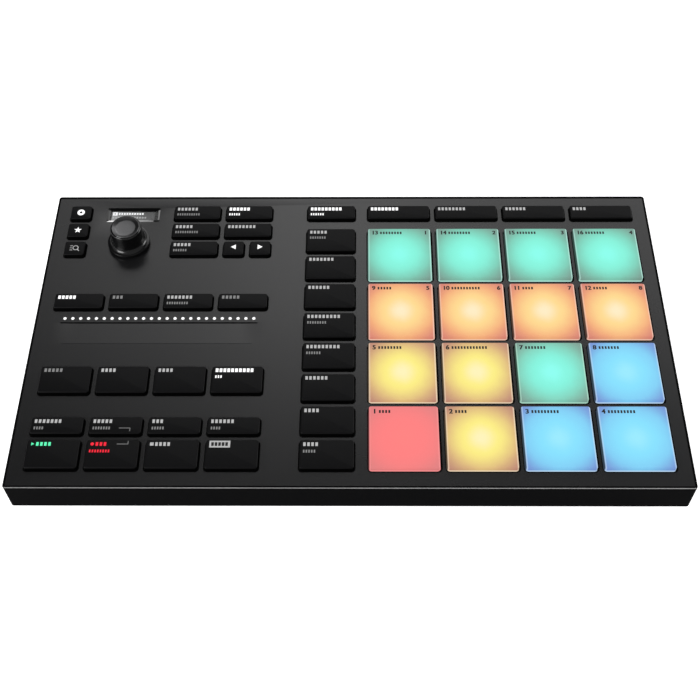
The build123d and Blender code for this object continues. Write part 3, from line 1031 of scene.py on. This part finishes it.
@dataclass
class Cover:
    """Top cover: satin panel, walls and rim painted darker as painted shade, a painted highlight along the
    front edge and a glossy display mouth.
    """

    # Widths of the rim bands that get painted shade.
    rim: float = 1.3 * MM
    rear_rim: float = 2.0 * MM
    front_rim: float = 1.0 * MM
    rubbed_drop: float = 0.3 * MM
    skin: float = 1.0 * MM
    level: float = 0.9
    upright: float = 0.5
    lean: float = 0.6

    def build(self) -> list[Object]:
        """Copy the cover's node, merge it, cut it along its rims and paint its faces by where they lie.

        Returns:
            The cover, riding on the case.
        """
        low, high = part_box("top_cover")
        shell = copy_to(bpy.data.objects["top_cover"], "cover_shell", 0, 0)
        shell.parent = None
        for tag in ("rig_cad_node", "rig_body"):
            del shell[tag]
        cuts = (
            ((0, high.y - self.rear_rim, 0), (0, 1, 0)), ((low.x + self.rim, 0, 0), (1, 0, 0)),
            ((high.x - self.rim, 0, 0), (1, 0, 0)), ((0, low.y + self.front_rim, 0), (0, 1, 0)),
            ((0, 0, high.z - self.rubbed_drop), (0, 0, 1)),
        )  # fmt: skip
        with editing(shell, "VERT"):
            merge()
            bpy.ops.mesh.customdata_custom_splitnormals_clear()
            for place, way in cuts:
                bpy.ops.mesh.select_all(action="SELECT")
                bpy.ops.mesh.bisect(plane_co=place, plane_no=way)
        looks = (Skin.PANEL, Skin.WALL, Skin.RUBBED, Skin.MOUTH)
        paint(shell, looks, lambda middle, normal: self.look(middle, normal, low, high))
        smooth(shell, 25)
        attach(shell, "case")
        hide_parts("top_cover")
        return [shell]

    def look(self, middle: Vector, normal: Vector, low: Vector, high: Vector) -> Skin:
        """Choose the finish of one face.

        Args:
            middle: Middle of the face.
            normal: Its outward normal.
            low: Lowest corner of the cover.
            high: Highest corner of the cover.

        Returns:
            The finish.
        """
        # Front bevel: painted highlight on its lower half, painted shade on its upper half.
        if normal.y < -self.lean and normal.z > self.lean and middle.y < low.y + self.front_rim:
            return Skin.RUBBED if middle.z < high.z - self.rubbed_drop else Skin.WALL
        screen_low, screen_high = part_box("display_window")
        over_screen = screen_low.x < middle.x < screen_high.x and screen_low.y < middle.y < screen_high.y
        if over_screen and middle.z > screen_low.z:
            return Skin.MOUTH
        strip_low, strip_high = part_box("touch_strip_sensor")
        behind_strip = abs(middle.y - strip_high.y) < 5 * HAIR and strip_low.x < middle.x < strip_high.x
        # Painted shade on the walls, the rim bands, the rear wall of the strip's recess and the faces along
        # the front edge.
        wall = (
            min(middle.x - low.x, high.x - middle.x) < self.rim
            or middle.y > high.y - self.rear_rim
            or middle.y < low.y + self.front_rim
            or middle.z < high.z - self.skin
            or (behind_strip and normal.z < self.upright)
            or (middle.y < low.y + 2 * self.front_rim and normal.z < self.level)
        )
        return Skin.WALL if wall else Skin.PANEL


@dataclass
class TouchStrip:
    """Skin of the touch strip: a shallow scoop that runs out level at its ends."""

    depth: float = 0.3 * MM
    floor: float = 0.05 * MM
    run_out: float = 11.0 * MM
    columns: int = 96
    rows: tuple[float, ...] = (0.0, 0.18, 3.0, 6.0, 8.5, 10.8, 11.8, 12.4, 13.0)
    front_share: float = 0.1
    rear_shade: tuple[float, float] = (0.6 * MM, 0.08 * MM)
    front_shade: tuple[float, float] = (0.15 * MM, 0.015 * MM)

    def build(self) -> list[Object]:
        """Shape a fine block as a scoop in the cover's recess, its rows apart as the rows' places are.

        Returns:
            The skin, riding on the case.
        """
        low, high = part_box("touch_strip_sensor")
        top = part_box("top_cover")[1].z
        skin = block("strip_skin", (low.x, low.y, top - self.depth - self.floor), (high.x, high.y, top))
        last = len(self.rows) - 1
        with editing(skin, "EDGE"):
            pick_edges(skin, lambda a, b: abs(a.y - b.y) < HAIR and abs(a.z - b.z) < HAIR)
            bpy.ops.mesh.subdivide_edgering(number_cuts=self.columns - 1, interpolation="LINEAR")
            pick_edges(skin, lambda a, b: abs(a.x - b.x) < HAIR and abs(a.z - b.z) < HAIR)
            bpy.ops.mesh.subdivide_edgering(number_cuts=last - 1, interpolation="LINEAR")
        for v in skin.data.vertices:
            share = self.rows[round((v.co.y - low.y) / (high.y - low.y) * last)] / self.rows[-1]
            v.co.y = low.y + share * (high.y - low.y)
            if v.co.z > top - HAIR:
                end = min(1.0, min(v.co.x - low.x, high.x - v.co.x) / self.run_out)
                sunk = self.front_share + (1 - self.front_share) * share
                v.co.z -= self.depth * end * end * (3 - 2 * end) * sunk

        def look(middle: Vector, normal: Vector) -> Skin:
            """Painted shade along the front and rear edges of the scoop, where it is below the panel."""
            dip = top - middle.z
            rear = middle.y > high.y - self.rear_shade[0] and dip > self.rear_shade[1]
            front = middle.y < low.y + self.front_shade[0] and dip > self.front_shade[1]
            return Skin.WALL if normal.z > 0.5 and (rear or front) else Skin.PANEL

        paint(skin, (Skin.PANEL, Skin.WALL), look)
        smooth(skin)
        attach(skin, "case")
        return [skin]


@dataclass(frozen=True)
class Lip:
    """Painted shade round an opening: the open slot inside it, then its width on each side."""

    slot: float
    left: float
    right: float
    front: float
    rear: float
    corner: float = 1.6 * MM

    def loops(self, low: Vector, high: Vector) -> list[Loop]:
        """Outer outline and slot's edge of the painted shade round a cap or pad between two corners.

        Args:
            low: Lowest corner of the cap or pad.
            high: Its highest corner.

        Returns:
            The two outlines, the outer one first.
        """
        slot = Vector((self.slot, self.slot, 0))
        low, high = low - slot, high + slot
        outer = (low - Vector((self.left, self.front, 0)), high + Vector((self.right, self.rear, 0)))
        return [rounded(*outer, self.corner + (self.left + self.right) / 2), rounded(low, high, self.corner)]


@dataclass
class Lips:
    """Painted shade round the openings for the caps and the pads, wider on the sides where shadow falls as
    seen from the player's side.
    """

    cap: Lip = Lip(0.3 * MM, 0.3 * MM, 0.4 * MM, 0.55 * MM, 0.15 * MM)
    pad: Lip = Lip(0.35 * MM, 0.4 * MM, 0.8 * MM, 0.5 * MM, 0.2 * MM)

    def build(self) -> list[Object]:
        """Lay painted shade round every opening.

        Returns:
            The painted shade in one piece, riding on the case.
        """
        loops = [loop for key in LEGENDS for loop in self.cap.loops(*Caps.face(key))]
        half = Vector((Pads.width / 2, Pads.depth / 2, 0))
        loops += [loop for middle in Pads.places() for loop in self.pad.loops(middle - half, middle + half)]
        shade_lines = flat_shape("opening_shade_lines", loops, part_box("top_cover")[1].z, Skin.FLANK)
        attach(shade_lines, "case")
        return [shade_lines]


@dataclass
class Caps:
    """Thirty-nine push-button caps and the marks on them."""

    corner: Rounding = (1.2 * MM, 6)
    edge: Rounding = (0.6 * MM, 4)
    flange: float = 1.2 * MM
    flange_reach: float = 1.0 * MM
    flange_top: float = 28.8 * MM
    skin: float = 1.3 * MM
    stem: float = 3.8 * MM
    stem_bottom: float = 26.9 * MM
    margin: float = 1.7 * MM
    first_line: float = 2.4 * MM
    line_step: float = 3.7 * MM
    word: Strokes = Strokes(1.9 * MM, 1.2 * MM, 1.95 * MM)
    bright_gain: float = 0.15 * MM
    second_word: Strokes = Strokes(1.25 * MM, 0.7 * MM, 1.5 * MM)
    boxed_word: Strokes = Strokes(1.65 * MM, 1.2 * MM, 1.95 * MM)
    boxed_inset: float = 0.9 * MM
    plate: tuple[float, float] = (9.8 * MM, 3.6 * MM)
    small_sign: float = 1.7 * MM
    small_sign_inset: float = 1.0 * MM
    small_sign_room: float = 2.6 * MM
    arrow: tuple[float, float] = (3.1 * MM, 0.6 * MM)
    sign: tuple[float, float] = (4.0 * MM, -0.1 * MM)
    tie_start: float = 14.2 * MM
    tie_length: float = 5.4 * MM
    tie_leg: float = 1.65 * MM
    tie_width: float = 0.3 * MM
    patterns: dict[tuple[int, int], Object] = field(default_factory=dict)

    @classmethod
    def face(cls, key: str) -> tuple[Vector, Vector]:
        """Corners of a cap without its flange.

        Args:
            key: Name of the cap's node without its last word.

        Returns:
            The lowest and the highest corner.
        """
        low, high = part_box(f"{key}_button")
        reach = Vector((cls.flange_reach, cls.flange_reach, 0))
        return low + reach, high - reach

    def build(self) -> list[Object]:
        """Make every cap and its legend.

        Returns:
            The pieces, riding on their own bodies.
        """
        made = []
        for key, legend in LEGENDS.items():
            low, high = self.face(key)
            made.append(self.cap(key, low, high))
            marks = self.legend(key, legend, low, high)
            for piece in marks:
                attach(piece, f"{key}_button")
            made += marks
        for piece in made:
            piece.visible_glossy = False
        for pattern in self.patterns.values():
            bpy.data.objects.remove(pattern)
        return made

    def cap(self, key: str, low: Vector, high: Vector) -> Object:
        """One cap in the place of its node.

        Args:
            key: Name of the button.
            low: Lowest corner of the cap without its flange.
            high: Highest corner of it.

        Returns:
            The cap, riding on its own body.
        """
        size, middle = high - low, (low + high) / 2
        code = (round(size.x / MM * 10), round(size.y / MM * 10))
        if code not in self.patterns:
            self.patterns[code] = self.pattern(size.x, size.y, high.z)
        cap = copy_to(self.patterns[code], f"{key}_cap", middle.x, middle.y)
        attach(cap, f"{key}_button")
        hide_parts(f"{key}_button")
        return cap

    def pattern(self, width: float, depth: float, top: float) -> Object:
        """Cap of one size about the origin: soft edges, retaining flange, hollow and stem.

        Args:
            width: Along X.
            depth: Along Y.
            top: Height of its face.

        Returns:
            The pattern to copy.
        """
        grow, thin = 2 * self.flange_reach, 2 * self.skin
        cap = SoftBlock(width, depth, self.flange_top, top, self.corner, self.edge).build("cap_pattern", (
            (width + grow, depth + grow, self.flange_top - self.flange),
            (width - thin, depth - thin, top - self.skin),
            (self.stem, self.stem, self.stem_bottom),
        ))  # fmt: skip
        # The sides get painted shade, darker than the top.
        paint(cap, (Skin.CAP, Skin.FLANK), lambda c, n: Skin.FLANK if abs(n.z) < 0.4 else Skin.CAP)
        smooth(cap)
        return cap

    def legend(self, key: str, legend: Legend, low: Vector, high: Vector) -> list[Object]:
        """Marks of one cap.

        Args:
            key: Name of the button.
            legend: What it bears.
            low: Lowest corner of the cap.
            high: Highest corner of the cap.

        Returns:
            The first row, then the second row and trim where there are any.
        """
        left, line, top = low.x + self.margin, high.y - self.first_line, high.z
        if legend.symbol and not legend.strokes:
            size, rise = self.arrow if legend.symbol in (Symbol.LEFT, Symbol.RIGHT) else self.sign
            loops = legend.symbol.loops(size, (low.x + high.x) / 2, (low.y + high.y) / 2 + rise)
            return [flat_shape(f"{key}_sign", loops, top, legend.ink)]
        start, word, loops = left, self.word, []
        if legend.symbol:
            loops = legend.symbol.loops(self.small_sign, left + self.small_sign_inset, line)
            start += self.small_sign_room
        if legend.boxed:
            start, word = start + self.boxed_inset, self.boxed_word
        gain = self.bright_gain if legend.ink is Ink.BRIGHT else 0.0
        loops += word.loops(start, line, legend.strokes, gain)
        marks = [flat_shape(f"{key}_legend", loops, top + HAIR * legend.boxed, legend.ink)]
        if legend.lighter:
            loops = self.second_word.loops(left, line - self.line_step, legend.lighter)
            marks.append(flat_shape(f"{key}_second", loops, top, legend.second))
        if legend.boxed:
            marks.append(flat_shape(f"{key}_plate", [bar(left, line, *self.plate)], top, Ink.WHITE))
        if legend.bracket:
            y = line - (self.line_step if legend.bracket < 0 else 0)
            tie = self.tie(low.x + self.tie_start, y, legend.bracket)
            marks.append(flat_shape(f"{key}_tie", [tie], top, Ink.DIM))
        return marks

    def tie(self, x: float, y: float, way: int) -> Loop:
        """Outline of a thin line from x that turns up or down at its right end.

        Args:
            x: Left end.
            y: Height of the line's middle.
            way: 1 to turn up, -1 to turn down.

        Returns:
            The outline.
        """
        end, half, tip = x + self.tie_length, way * self.tie_width / 2, y + way * self.tie_leg
        inner, below, above = end - self.tie_width, y - half, y + half
        return [(x, below), (end, below), (end, tip), (inner, tip), (inner, above), (x, above)]


@dataclass
class Pads:
    """Four by four pads, each glowing in its colour over one moulded web."""

    width: float = 33.1 * MM
    depth: float = 33.4 * MM
    gap: float = 3.2 * MM
    web_reach: float = 1.0 * MM
    corner: Rounding = (1.2 * MM, 7)
    edge: Rounding = (0.7 * MM, 6)
    web_top: float = 28.6 * MM
    web_bottom: float = 27.6 * MM
    foot: float = 0.6 * MM
    foot_inset: float = 1.5 * MM
    margin: float = 1.9 * MM
    line: float = 3.1 * MM
    number_height: float = 2.5 * MM
    number_room: tuple[float, float] = (3.0 * MM, 4.6 * MM)
    bank_height: float = 2.4 * MM
    bank_margin: float = 3.4 * MM
    bold: float = 0.22 * MM
    word: Strokes = Strokes(1.5 * MM, 0.9 * MM, 1.6 * MM)
    word_lengths: tuple[int, ...] = (4, 4, 9, 9, 8, 12, 7, 7, 5, 10, 4, 5, 8, 8, 7, 7)
    colours: tuple[PadColour, ...] = (
        PadColour.CORAL, PadColour.YELLOW, PadColour.BLUE, PadColour.BLUE,
        PadColour.YELLOW, PadColour.YELLOW, PadColour.GREEN, PadColour.BLUE,
        *(PadColour.ORANGE,) * 4, *(PadColour.MINT,) * 4,
    )  # fmt: skip

    @classmethod
    def places(cls) -> list[Vector]:
        """Middle of every pad, from the front left one row by row.

        Returns:
            Sixteen places at the height of the mat's underside.
        """
        low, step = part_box("pad_mat")[0], Vector((cls.width + cls.gap, cls.depth + cls.gap, 0))
        first = low + Vector((cls.web_reach + cls.width / 2, cls.web_reach + cls.depth / 2, 0))
        return [first + step * Vector((i % 4, i // 4, 0)) for i in range(16)]

    def build(self) -> list[Object]:
        """Make the pads and the numbers on them.

        Returns:
            The pieces, riding on the pad mat's body.
        """
        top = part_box("pad_mat")[1].z
        pattern = self.pattern(top)
        made = []
        for index, (colour, middle) in enumerate(zip(self.colours, self.places())):
            pad = copy_to(pattern, f"pad_{index + 1:02d}", middle.x, middle.y)
            dress(pad, colour)
            for piece in (pad, self.marks(index, middle, top)):
                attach(piece, "pad_mat")
                piece.visible_glossy = False
                made.append(piece)
            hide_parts("pad_mat")
        bpy.data.objects.remove(pattern)
        return made

    def pattern(self, top: float) -> Object:
        """Pad about the origin with its share of the web, its foot and its UV map.

        Args:
            top: Height of its face.

        Returns:
            The pattern to copy.
        """
        w, d, lean = self.width, self.depth, 2 * self.foot_inset
        pad = SoftBlock(w, d, self.web_top, top, self.corner, self.edge).build("pad_pattern", (
            (w + self.gap, d + self.gap, self.web_bottom),
            (w - lean, d - lean, self.web_bottom - self.foot),
        ))  # fmt: skip
        map_plan(pad, (-w / 2, -d / 2), (w / 2, d / 2))
        smooth(pad, 40)
        return pad

    def marks(self, index: int, middle: Vector, top: float) -> Object:
        """Number of a pad, its row of strokes and, on the two rear rows, its bank number.

        Args:
            index: Which pad, from 0.
            middle: Its middle.
            top: Height of its face.

        Returns:
            The marks in one piece.
        """
        left, line = middle.x - self.width / 2 + self.margin, middle.y + self.depth / 2 - self.line
        parts = self.number(index + 1, self.number_height, left, line, top)
        loops = self.word.loops(left + self.number_room[index > 8], line, self.word_lengths[index])
        parts.append(flat_shape("strokes", loops, top, Ink.DARK))
        if index > 7:
            right = middle.x + self.width / 2 - self.bank_margin
            parts += self.number((index - 4) % 8 + 1, self.bank_height, right, line, top)
        return join(parts, f"pad_{index + 1:02d}_marks")

    def number(self, number: int, height: float, x: float, y: float, z: float) -> list[Object]:
        """Number drawn twice, a little apart, so that its lines are bold."""
        return [figure(number, height, (x + i * self.bold, y, z + i * HAIR)) for i in (0, 1)]


@dataclass
class Knob:
    """Turned encoder knob: flared glossy skirt, tapered body and dished satin face. Sizes in millimetres."""

    skirt: float = 11.0
    pocket: float = 5.4
    pocket_depth: float = 2.3
    body: float = 8.2
    face: float = 7.3
    face_depth: float = 1.5
    flare_run: float = 2.3
    flare_rise: float = 3.0
    flare_start: float = 1.9
    flare_steps: int = 12

    def build(self) -> list[Object]:
        """Make the knob's body and face.

        Returns:
            The pieces, riding on the knob's body.
        """
        low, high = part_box("knob")
        base, top = low.z / MM, high.z / MM
        outlines = (("knob_body", self.body_outline(base, top)), ("knob_face", self.face_outline(top)))
        body, disc = (
            turned(name, [(r * MM, z * MM) for r, z in outline], (low.x + high.x) / 2, (low.y + high.y) / 2)
            for name, outline in outlines
        )
        smooth(body, 30)
        dress(body, Skin.KNOB)
        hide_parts("knob")
        smooth(disc, 40)
        dress(disc, Skin.DISC)
        for piece in (body, disc):
            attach(piece, "knob")
        return [body, disc]

    def body_outline(self, base: float, top: float) -> Loop:
        """Radius and height of each point of the body, from the axis out, up and back to the axis.

        Args:
            base: Height of its underside.
            top: Height of its top.

        Returns:
            The points.
        """
        skirt, face = self.skirt, self.face
        flare = []
        for i in range(self.flare_steps + 1):
            share = i / self.flare_steps
            radius = skirt - 0.35 - self.flare_run * math.sin(share * math.pi / 2)
            flare.append((radius, base + self.flare_start + self.flare_rise * share**1.8))
        return [
            (0.0, base + self.pocket_depth), (self.pocket, base + self.pocket_depth), (self.pocket, base),
            (skirt - 0.35, base), (skirt - 0.1, base + 0.12), (skirt, base + 0.4), (skirt, base + 1.6),
            (skirt - 0.06, base + 1.78), (skirt - 0.18, base + 1.87), *flare, (self.body + 0.06, top - 6.0),
            (self.body, top - 3.0), (self.body, top - 1.0), (self.body - 0.06, top - 0.65),
            (self.body - 0.25, top - 0.35), (self.body - 0.55, top - 0.15), (face - 0.02, top - 0.1),
            (face - 0.06, top - self.face_depth), (0.0, top - self.face_depth),
        ]  # fmt: skip

    def face_outline(self, top: float) -> Loop:
        """Radius and height of each point of the dished face, with a raised ring round the dish.

        Args:
            top: Height of the knob's top.

        Returns:
            The points.
        """
        face = self.face
        return [
            (0.0, top - self.face_depth), (face - 0.06, top - self.face_depth), (face - 0.02, top - 0.25),
            (face - 0.1, top - 0.1), (face - 0.22, top - 0.02), (face - 0.35, top), (face - 0.48, top - 0.04),
            (face - 0.6, top - 0.1), (face - 1.9, top - 0.52), (face - 2.15, top - 0.58),
            (face - 2.4, top - 0.6), (face - 4.8, top - 0.63), (0.0, top - 0.65),
        ]  # fmt: skip


@dataclass
class Display:
    """Lit picture on the display module under the clear window, and painted highlights and shade on the
    slopes of its mouth.
    """

    overlap: float = 1.6 * MM
    slope_run: float = 1.4 * MM
    slope_drop: float = 0.6 * MM
    border: float = 1.7 * MM
    ground_inset: float = 0.5 * MM
    ground_reach: float = 0.3 * MM
    margin: tuple[float, float] = (1.0 * MM, 1.2 * MM)
    tag: tuple[float, float] = (2.5 * MM, 2.3 * MM)
    tag_hole: tuple[float, float] = (0.6 * MM, 1.1 * MM)
    tag_hole_inset: float = 0.8 * MM
    title_inset: float = 3.1 * MM
    title: Strokes = Strokes(1.4 * MM, 0.95 * MM, 1.3 * MM)
    row: Strokes = Strokes(1.45 * MM, 0.9 * MM, 1.1 * MM)
    row_drop: float = 2.7 * MM
    rule: tuple[float, float] = (20.0 * MM, 0.3 * MM)
    rule_drop: float = 4.6 * MM

    def build(self) -> list[Object]:
        """Make the picture and the painted highlights and shade on the front and side slopes.

        Returns:
            The pieces, riding on the case.
        """
        low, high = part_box("display_window")
        inset = Vector((self.overlap, self.overlap, 0))
        low, high = low + inset, high - inset
        ground_low = (low.x + self.ground_inset, low.y - self.ground_reach, low.z)
        ground_high = (high.x - self.border, high.y + self.ground_reach, low.z + HAIR)
        pieces = [self.lit("display_ground", ground_low, ground_high, Skin.BACKLIGHT)]
        left, line = low.x + self.margin[0], high.y - self.margin[1]
        header = [bar(left, line, *self.tag), bar(left + self.tag_hole_inset, line, *self.tag_hole)]
        header += self.title.loops(left + self.title_inset, line, 10)
        rows = [*self.row.loops(left, line - self.row_drop, 13), bar(left, line - self.rule_drop, *self.rule)]
        pieces.append(flat_shape("display_header", header, low.z + HAIR, Ink.BRIGHT))
        pieces.append(flat_shape("display_rows", rows, low.z + HAIR, Ink.WHITE))
        run = self.slope_run
        # Painted highlight on the front slope, painted shade and highlight on the side slopes.
        pieces += [
            self.slope(Skin.GLINT, (low.x - run, low.y - run), (high.x - self.border, low.y), 1, low.y),
            self.slope(Skin.GLINT_LEFT, (low.x - run, low.y), (low.x, high.y), 0, low.x),
            self.slope(Skin.GLINT_RIGHT, (high.x, low.y), (high.x + run, high.y), 0, high.x),
        ]
        for piece in pieces:
            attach(piece, "case")
        return pieces

    def lit(self, name: str, low: Point, high: Point, look: Skin) -> Object:
        """Thin lit block whose UV map runs over its plan.

        Args:
            name: Name of the block.
            low: Its lowest corner.
            high: Its highest corner.
            look: Its finish.

        Returns:
            The block.
        """
        made = block(name, low, high)
        map_plan(made, low, high)
        dress(made, look)
        return made

    def slope(self, look: Skin, low: Point, high: Point, axis: int, inner: float) -> Object:
        """Slope of the mouth with painted highlight and shade, level with the panel at its outer edge.

        Args:
            look: Its finish, which also names it.
            low: Its left front corner.
            high: Its right rear corner.
            axis: 0 where it sinks along X, 1 along Y.
            inner: Place of its lower edge on that axis.

        Returns:
            The slope.
        """
        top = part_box("top_cover")[1].z
        made = self.lit(look.value.name, (*low, top), (*high, top + HAIR), look)
        for v in made.data.vertices:
            v.co.z -= self.slope_drop * (1 - abs(v.co[axis] - inner) / self.slope_run)
        return made


@dataclass
class StripLights:
    """Row of small domed lenses behind the touch strip."""

    count: int = 25
    pitch: float = 4.0 * MM
    radius: float = 0.8 * MM
    rise: float = 0.12 * MM
    turns: tuple[float, ...] = (0.0, 0.35, 0.75, 1.15)

    def build(self) -> list[Object]:
        """Make one lens, copy it along the row and join the row.

        Returns:
            The row, riding on the case.
        """
        low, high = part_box("strip_light_guide")
        x, y, z = (low.x + high.x) / 2, (low.y + high.y) / 2, high.z
        dome = [(self.radius * math.cos(turn), z + self.rise * math.sin(turn)) for turn in self.turns]
        lens = turned("lens_pattern", [(0.0, z), *dome, (0.0, z + self.rise)], 0, 0, 16)
        smooth(lens, 60)
        first = x - (self.count - 1) / 2 * self.pitch
        row = [copy_to(lens, f"lens_{i}", first + i * self.pitch, y) for i in range(self.count)]
        lights = join(row, "strip_lenses")
        bpy.data.objects.remove(lens)
        dress(lights, Skin.GUIDE)
        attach(lights, "case")
        return [lights]


@dataclass
class SocketInside:
    """Tongue and contacts in the square data socket."""

    depth: float = 11.5 * MM
    tongue: tuple[float, float, float] = (5.6 * MM, 9.0 * MM, 3.2 * MM)
    tongue_edge: Rounding = (0.5 * MM, 3)
    contact: tuple[float, float, float] = (1.0 * MM, 7.6 * MM, 0.24 * MM)
    contact_edge: Rounding = (0.1 * MM, 2)
    contact_step: float = 2.5 * MM

    def build(self) -> list[Object]:
        """Make the tongue and its four contacts.

        Returns:
            The pieces, riding on the case.
        """
        low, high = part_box("usb_socket")
        x, back, z = (low.x + high.x) / 2, high.y - self.depth, (low.z + high.z) / 2
        tongue = self.blade("usb_tongue", (x, back, z), self.tongue, self.tongue_edge)
        strips = [
            self.blade(
                "contact", (x + across * self.contact_step / 2, back, z + up * self.tongue[2] / 2),
                self.contact, self.contact_edge,
            )
            for across, up in product((-1, 1), repeat=2)
        ]  # fmt: skip
        contacts = join(strips, "usb_contacts")
        for piece, look in ((tongue, Skin.TONGUE), (contacts, Skin.CONTACT)):
            smooth(piece)
            dress(piece, look)
            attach(piece, "case")
        return [tongue, contacts]

    def blade(self, name: str, back: Point, size: Point, edge: Rounding) -> Object:
        """Block that reaches to the rear from the middle of its back end, with a soft front end.

        Args:
            name: Name of the block.
            back: Middle of its back end.
            size: Width, length and height.
            edge: Rounding of its front end.

        Returns:
            The block.
        """
        (x, y, z), (width, length, height) = back, size
        made = block(name, (x - width / 2, y, z - height / 2), (x + width / 2, y + length, z + height / 2))
        soften(made, *edge, lambda a, b: min(a.y, b.y) > y + length - HAIR)
        return made


FRAME_LOOKS: dict[str, Skin] = {
    "top_cover": Skin.PANEL, "bottom_tray": Skin.TRAY, "feet": Skin.RUBBER, "case_screws": Skin.SCREW,
    "board_screws": Skin.SCREW, "main_board": Skin.BOARD, "button_switches": Skin.BLACK,
    "pad_board": Skin.BOARD, "pad_sensor_sheet": Skin.FILM, "pad_support_plate": Skin.PLATE,
    "board_link_ribbon": Skin.RIBBON, "usb_socket": Skin.SOCKET, "display_window": Skin.WINDOW,
    "display_module": Skin.BLACK, "touch_strip_sensor": Skin.FILM, "strip_light_guide": Skin.GUIDE,
    "encoder_body": Skin.BRASS, "encoder_actuator": Skin.BRASS, "encoder_shaft": Skin.BRASS,
    "knob": Skin.KNOB, "pad_mat": Skin.SILICONE,
}  # fmt: skip


# ---- studio ----


@dataclass(frozen=True)
class Studio:
    """Pale floor, sky, soft lamps and the camera."""

    camera_place: tuple[float, float, float] = (0.0060, -0.3335, 0.5153)
    aim: tuple[float, float, float] = (-0.01017, 0.58787, -0.80889)
    level: tuple[float, float, float] = (0.99995, 0.00572, -0.00842)
    lens: float = 60.02
    shift: float = -50 / 700
    floor_size: float = 9.0
    wall_level: float = 0.4
    front_level: float = 0.33
    window_level: float = 4.0
    ceiling_level: float = 0.04
    blinds: tuple[Point, ...] = ((-0.03, -0.11, 0.66), (-0.245, -0.35, 0.99), (-0.036, 0.038, 0.55))
    corner_blind: float = 0.22

    def build(self) -> None:
        """Make all of it."""
        bpy.ops.mesh.primitive_plane_add(size=self.floor_size)
        floor = bpy.context.active_object
        floor.name = "floor"
        dress(floor, Skin.FLOOR)
        self.sky()
        self.lamp("left_softbox", (-1.05, -0.75, 0.78), 0.75, 15.0)
        self.lamp("right_softbox", (1.3, 0.6, 0.63), 0.7, 9.0)
        self.camera()

    def sky(self) -> None:
        """World: white walls low down and a broad bright window behind, grey overhead and in front."""
        world = bpy.data.worlds.new("studio")
        bpy.context.scene.world = world
        world.use_nodes = True
        world.node_tree.nodes.clear()
        g = Graph(world.node_tree)
        x, y, z = g.axes(g.place("Generated"))
        corner = g.times(g.step(y, 0.61, 0.68), g.step(x, -0.02, 0.03))
        shades = [(g.step(x, low, high), loss) for low, high, loss in self.blinds]
        window = g.times(g.step(y, 0.512, 0.567), g.step(z, 0.3, 0.55))
        for shade, loss in (*shades, (corner, self.corner_blind)):
            window = g.times(window, g.minus(1.0, g.times(shade, loss)))
        level = g.largest(
            g.times(g.step(z, 0.35, 0.1), self.wall_level),
            g.plus(g.times(window, self.window_level), self.ceiling_level),
            g.times(g.step(y, 0.22, 0.02), self.front_level),
            g.node("ShaderNodeLightPath").outputs["Is Camera Ray"],
        )
        back = g.node("ShaderNodeBackground", {"Color": grey(1.0), "Strength": level})
        g.node("ShaderNodeOutputWorld", {"Surface": back.outputs[0]})

    def lamp(self, name: str, place: tuple[float, float, float], size: float, power: float) -> None:
        """Soft square lamp aimed at the middle of the machine.

        Args:
            name: Name of the lamp.
            place: Where it hangs.
            size: Length of its side.
            power: Its power in watts.
        """
        light = bpy.data.lights.new(name, "AREA")
        light.shape = "SQUARE"
        light.size = size
        light.energy = power
        lamp = bpy.data.objects.new(name, light)
        lamp.location = place
        lamp.rotation_euler = (Vector((0, 0, 0.03)) - Vector(place)).to_track_quat("-Z", "Y").to_euler()
        bpy.context.scene.collection.objects.link(lamp)

    def camera(self) -> None:
        """Camera over the front edge, a little right of the middle."""
        data = bpy.data.cameras.new("camera")
        data.lens = self.lens
        data.shift_y = self.shift
        data.clip_start = 0.01
        data.clip_end = 50.0
        camera = bpy.data.objects.new("camera", data)
        back = -Vector(self.aim).normalized()
        up = back.cross(Vector(self.level)).normalized()
        camera.location = self.camera_place
        camera.rotation_euler = Matrix((up.cross(back), up, back)).transposed().to_euler()
        bpy.context.scene.collection.objects.link(camera)
        bpy.context.scene.camera = camera


def main() -> None:
    """Load the frame, dress it, add the pieces and set the studio."""
    logging.basicConfig(level=logging.INFO, format="%(name)s: %(message)s")
    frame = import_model()
    bpy.context.scene.view_settings.view_transform = "Standard"
    for name, node in frame["nodes"].items():
        dress(node, FRAME_LOOKS.get(name, Skin.CAP))
    for assembly in (Cover, TouchStrip, Lips, Caps, Pads, Knob, Display, StripLights, SocketInside):
        for piece in assembly().build():
            LOG.info("%s: %d faces", piece.name, len(piece.data.polygons))
    Studio().build()


if __name__ == "__main__":
    main()
